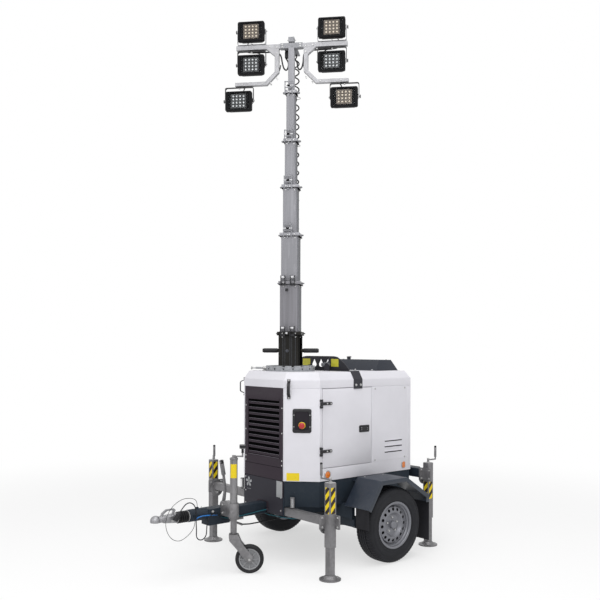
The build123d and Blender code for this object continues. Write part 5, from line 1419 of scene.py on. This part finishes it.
lamps = (
    # name, across, height of the pins, height of the yoke's seat, light of the diodes
    ("top_left", 333, 4296, 4178, "warm"),
    ("top_right", -333, 4296, 4178, "warm"),
    ("middle_left", 333, 4022, 4140, "cool"),
    ("middle_right", -333, 4022, 4140, "cool"),
    ("bottom_left", 436, 3727, 3845, "warm"),
    ("bottom_right", -436, 3727, 3845, "cool"),
)
for name, across, pin_z, seat_z, light in lamps:
    up = 1 if pin_z > seat_z else -1

    @made(f"yoke_{name}", frame_zinc if seat_z == bar_top else yoke_black, "mast_6",
        "galvanised" if seat_z == bar_top else "lamp_black", 0.8)
    def yoke(bm):
        far, near, base = 120, 116, seat_z + up * 6
        outline = [(-far + 12, base), (-far + 3.5, base + up * 3.5), (-far, base + up * 12), (-far, pin_z + up * 14),
                   (-near, pin_z + up * 14), (-near, base + up * 14), (-near + 10, base + up * 4),
                   (near - 10, base + up * 4), (near, base + up * 14), (near, pin_z + up * 14),
                       (far, pin_z + up * 14),
                   (far, base + up * 12), (far - 3.5, base + up * 3.5), (far - 12, base)]
        slab(bm, mast_face, [(across + x, y) for x, y in outline], -13, 13)
        turned(bm, on_mast(across, seat_z, 0, (0, 0, up), mast_front),
               [(14, -1), (14, 5.5), (17, 6)], 28)

    @made(f"yoke_bolts_{name}", bolt_steel, "mast_6")
    def yoke_bolts(bm):
        for way in (1, -1):
            side_place = on_mast(across + way * 120, pin_z, 0, way * mast_across)
            bolt(bm, side_place, 8)
        bolt(bm, on_mast(across, seat_z + up * 10, 0, (0, 0, up), mast_front), 8)

    @made(f"tilt_knob_{name}", grip_rubber, "mast_6", "rubber_black")
    def knob(bm):
        # The tilt knob on the yoke's outer side: a lobed black hand screw
        way = 1 if across > 0 else -1
        side_place = on_mast(across + way * 126, pin_z, 0, way * mast_across)
        lobes = [((13.4 + 1.6 * math.cos(5 * math.pi * k / 20)) * math.cos(math.pi * k / 20),
                  (13.4 + 1.6 * math.cos(5 * math.pi * k / 20)) * math.sin(math.pi * k / 20)) for k in range(40)]
        rings(bm, side_place, [([(x * 0.7, y * 0.7) for x, y in lobes], -1), (lobes, 0.5), (lobes, 5),
                               ([(x * 0.8, y * 0.8) for x, y in lobes], 6)])

# Floodlights: black die-cast housings with cooling fins behind, a flat bezel and a glazed front over a
# four by four board of light diodes; the lamps on the picture's right bottom and the top are warm.
lamp_black = paint("lamp casting", tone(18, 18, 20), 0.5, 0.06, 0.0, gloss=0.08)
board_tones = {"warm": (tone(100, 91, 82), tone(236, 224, 204)), "cool": (tone(60, 62, 64), tone(228, 232, 234))}
boards = {}
for light, (board, dot) in board_tones.items():
    boards[light] = paint(f"{light} diode board", board, 0.35, 0.0, 0.0)
    boards[light + " dot"] = paint(f"{light} diode", dot, 0.25, 0.0, 0.0)
glass, wire = start("lamp glass")
dress(glass, Base_Color=tone(40, 44, 46), Roughness=0.05 + grain(wire, 14.0) * 0.05, Alpha=0.06,
    Specular_IOR_Level=0.1)
for name, across, pin_z, seat_z, light in lamps:
    body = f"lamp_{name}"
    place = mast_face @ Matrix.Translation((across / 1000, pin_z / 1000, 0))

    @made(f"lamp_housing_{name}", lamp_black, body, "lamp_black", 0.8)
    def housing(bm):
        face = place @ Matrix.Translation((0, -0.011, 0))
        plates(bm, face, [(182, 142, 12, -30), (182, 142, 12, 4), (214, 154, 13, 6), (221, 161, 14, 8),
            (222, 162, 14, 10), (222, 162, 14, 42), (220, 160, 13, 44.6), (217, 157, 12, 45.8), (178, 138, 7, 46),
            (174, 134, 6, 44), (168, 128, 6, 38)])
        for way in (1, -1):
            box(bm, place, (way * 88, -22, -14), (way * 111, 22, 14))
        for k in range(13):
            x = -84 + 14 * k
            high = 64 if 1 < k < 11 else 54
            fin = [(29, -high), (29, high), (40, high - 4), (46, high - 16), (46, -high + 16), (40, -high + 4)]
            slab(bm, face @ Matrix.Translation((x / 1000, 0, 0)) @ Matrix.Rotation(math.pi / 2, 4, "Y"), fin, -1.5,
                1.5)

    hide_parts(f"lamp_{name}")

    @made(f"bezel_screws_{name}", trim_black, body)
    def bezel_screws(bm):
        for x in (-97, 97):
            for y in (-78, 78):
                turned(bm, place @ Matrix.Translation((x * 1.05 / 1000, y * 0.92 / 1000 - 0.011, 0.0455)),
                    [(2.6, 0), (2.2, 1.2), (1, 1.5)], 12)
        for way in (1, -1):
            for y in (-14, 14):
                turned(bm, frame_at(place @ (Vector((way * 111, y, 0)) / 1000), way * mast_across),
                    [(4, 0), (3.4, 2)], 12)

    solid(f"diode_board_{name}", lambda bm: box(bm, place, (-64, -70, 38.2), (64, 48, 39.6)), boards[light], body,
        "cast_silver")

    @made(f"diodes_{name}", boards[light + " dot"], body, "amber_lens" if light == "warm" else "cast_silver")
    def diodes(bm):
        for i in range(4):
            for j in range(4):
                at = place @ Matrix.Translation(((i - 1.5) * 0.029, (j - 1.5) * 0.0265 - 0.011, 0.0396))
                turned(bm, at, [(6.8, 0), (6.8, 0.6), (6, 1.4), (4.4, 2.4), (2, 3)], 20)

    solid(f"lamp_glass_{name}", lambda bm: box(bm, place, (-87, -78, 43), (87, 56, 43.8)), glass, body, "cast_silver")

# Lamp leads: the junction box behind the crossbar, the heavy cable looped on each side of the mast and a
# thin lead to every floodlight, clipped along the frame.
solid("junction_box", lambda bm: [
    box(bm, mast_face, (-66, 4090, -88), (6, 4138, -56)), box(bm, mast_face, (-64, 4140, -88), (4, 4150, -18))],
    yoke_black, "mast_6", "trim_black", 2.0)


def frame_lead(name, places, radius, body="mast_6"):
    return lead(name, [mast_face @ (Vector(place) / 1000) for place in places], radius, cable_rubber, body)


def bending_lead(name, places):
    # A lamp lead, turned from a curve into a plain mesh in the row frame
    line = frame_lead(name + "_line", places, 0.004, None)
    mesh = bpy.data.meshes.new_from_object(line)
    bpy.data.objects.remove(line)
    piece = placed(name, mesh)
    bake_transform(piece)


for way, side_name in ((1, "left"), (-1, "right")):
    frame_lead(f"loop_cable_{side_name}", [
        (way * 34 - 26, 4092, -74), (way * 36, 4060, -74), (way * 38, 4015, -74), (way * 54, 3988, -74),
            (way * 76, 4004, -72),
        (way * 88, 4050, -62), (way * 92, 4092, -44), (way * 104, 4116, -30), (way * 150, 4128, -25),
            (way * 230, 4131, -25),
        (way * 330, 4131, -24)], 0.006)
    bending_lead(f"upper_lead_{side_name}", [
        (way * 330, 4131, -24), (way * 372, 4133, -26), (way * 396, 4160, -40), (way * 392, 4200, -62),
        (way * 366, 4240, -60), (way * 340, 4276, -47)])
    bending_lead(f"middle_lead_{side_name}", [
        (way * 310, 4131, -24), (way * 268, 4128, -30), (way * 256, 4100, -54), (way * 280, 4062, -66),
        (way * 316, 4040, -60), (way * 333, 4030, -46)])
    frame_lead(f"shelf_lead_{side_name}", [
        (way * 96, 4020, -30), (way * 98, 3980, -24), (way * 128, 3940, -22), (way * 160, 3900, -22),
            (way * 210, 3868, -22),
        (way * 300, 3862, -22), (way * 386, 3858, -24), (way * 410, 3830, -42), (way * 420, 3780, -60),
        (way * 432, 3740, -46)], 0.0045)

# Mast cable: a curly rubber cable behind the mast. It is held at every collar, with one span
# drawn between each two collars.
held = [1800, 2213, 2607, 3001, 3378, 3776, 4137.6]
curly_rubber = rubber("curly cable", tone(18, 18, 20), 0.5, 0.05)
cable_line = [mast_face @ Vector((0.018, up / 1000, -0.137)) for up in held]
wire_radius = 0.0055


def curled(bottom, top, radius, turns):
    # The wire's middle line: it leaves the centre, winds round it and comes back to the centre
    places = []
    steps = turns * 16
    for k in range(steps + 1):
        share = k / steps
        swell = min(1, share * turns * 1.4, (1 - share) * turns * 1.4)
        angle = 2 * math.pi * turns * share
        around = math.cos(angle) * mast_across + math.sin(angle) * mast_front
        places.append(bottom.lerp(top, share) + radius * swell * around)
    return places


for i, (bottom, top) in enumerate(zip(cable_line, cable_line[1:])):
    route = placed(f"curly_route_{i}", smooth_line(f"curly_route_{i}", curled(bottom, top, 0.0245, 5), 3))
    path = [vertex.co.copy() for vertex in bpy.data.meshes.new_from_object(route).vertices]
    bpy.data.objects.remove(route)
    span = drawn(f"curly_cable_{i + 1}", lambda bm: tube(bm, path, wire_radius, 8), curly_rubber)
    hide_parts("mast_cable")
    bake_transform(span)

# Studio: a plain pale floor that fades into a white background, and four soft lamps. The background counts
# as white only where the camera sees it, so it puts little light on the object.
floor_mesh = bpy.data.meshes.new("floor")
reach = 60.0
floor_mesh.from_pydata([(-reach, -reach, 0), (reach, -reach, 0), (reach, reach, 0), (-reach, reach, 0)], [],
                       [(0, 1, 2, 3)])
placed("floor", floor_mesh)


def seen_directly(wire):
    # One for what the camera sees, also in a mirror or through glass, and nothing for light on the object
    camera_ray, glossy_ray, through_ray = [
        wire.node("LightPath", out=name) for name in ("Is Camera Ray", "Is Glossy Ray", "Is Transmission Ray")]
    return wire.maths("MINIMUM", camera_ray + glossy_ray + through_ray, 1.0)


floor_paint, wire = start("studio floor")
dress(floor_paint, Base_Color=(0.93, 0.93, 0.93, 1), Roughness=0.9, Specular_IOR_Level=0.05)
away = wire.node("VectorMath", {"operation": "LENGTH"}, {0: wire.node("NewGeometry")}, out="Value")
fade = wire.node("MapRange", {"interpolation_type": "SMOOTHSTEP"}, {0: away, 1: 2.2, 2: 6.5})
white = wire.node("Emission", None, {"Color": (1, 1, 1, 1), "Strength": 1.0})
painted = Wire(floor_paint.node_tree, floor_paint.node_tree.nodes["Principled BSDF"].outputs[0])
blended = wire.node("MixShader", None, {0: (fade * 0.4 + 0.6) * seen_directly(wire), 1: painted, 2: white})
floor_paint.node_tree.links.new(blended.socket, floor_paint.node_tree.nodes["Material Output"].inputs["Surface"])
floor_mesh.materials.append(floor_paint)

world = bpy.data.worlds.new("studio")
bpy.context.scene.world = world
world.use_nodes = True
sky = Wire(world.node_tree)
backdrop = world.node_tree.nodes["Background"]
backdrop.inputs["Color"].default_value = (1, 1, 1, 1)
fill_light = 0.45
world.node_tree.links.new((seen_directly(sky) * (1 - fill_light) + fill_light).socket, backdrop.inputs["Strength"])


def soft_lamp(name, place, aim, size, power):
    data = bpy.data.lights.new(name, "AREA")
    data.shape, data.size, data.energy = "SQUARE", size, power
    light = placed(name, data)
    light.location = place
    light.rotation_euler = (Vector(aim) - Vector(place)).to_track_quat("-Z", "Y").to_euler()


soft_lamp("overhead", (0.5, 1.0, 8.5), (0, 0, 0), 7.0, 330)
soft_lamp("key", (4.0, 4.5, 5.0), (0, 0, 1.4), 4.0, 170)
soft_lamp("front", (7.0, 0.5, 4.5), (0, 0, 1.4), 5.0, 70)
soft_lamp("side", (-1.5, 8.0, 4.0), (0, 0, 1.4), 5.0, 60)

bpy.context.scene.view_settings.view_transform = "Standard"
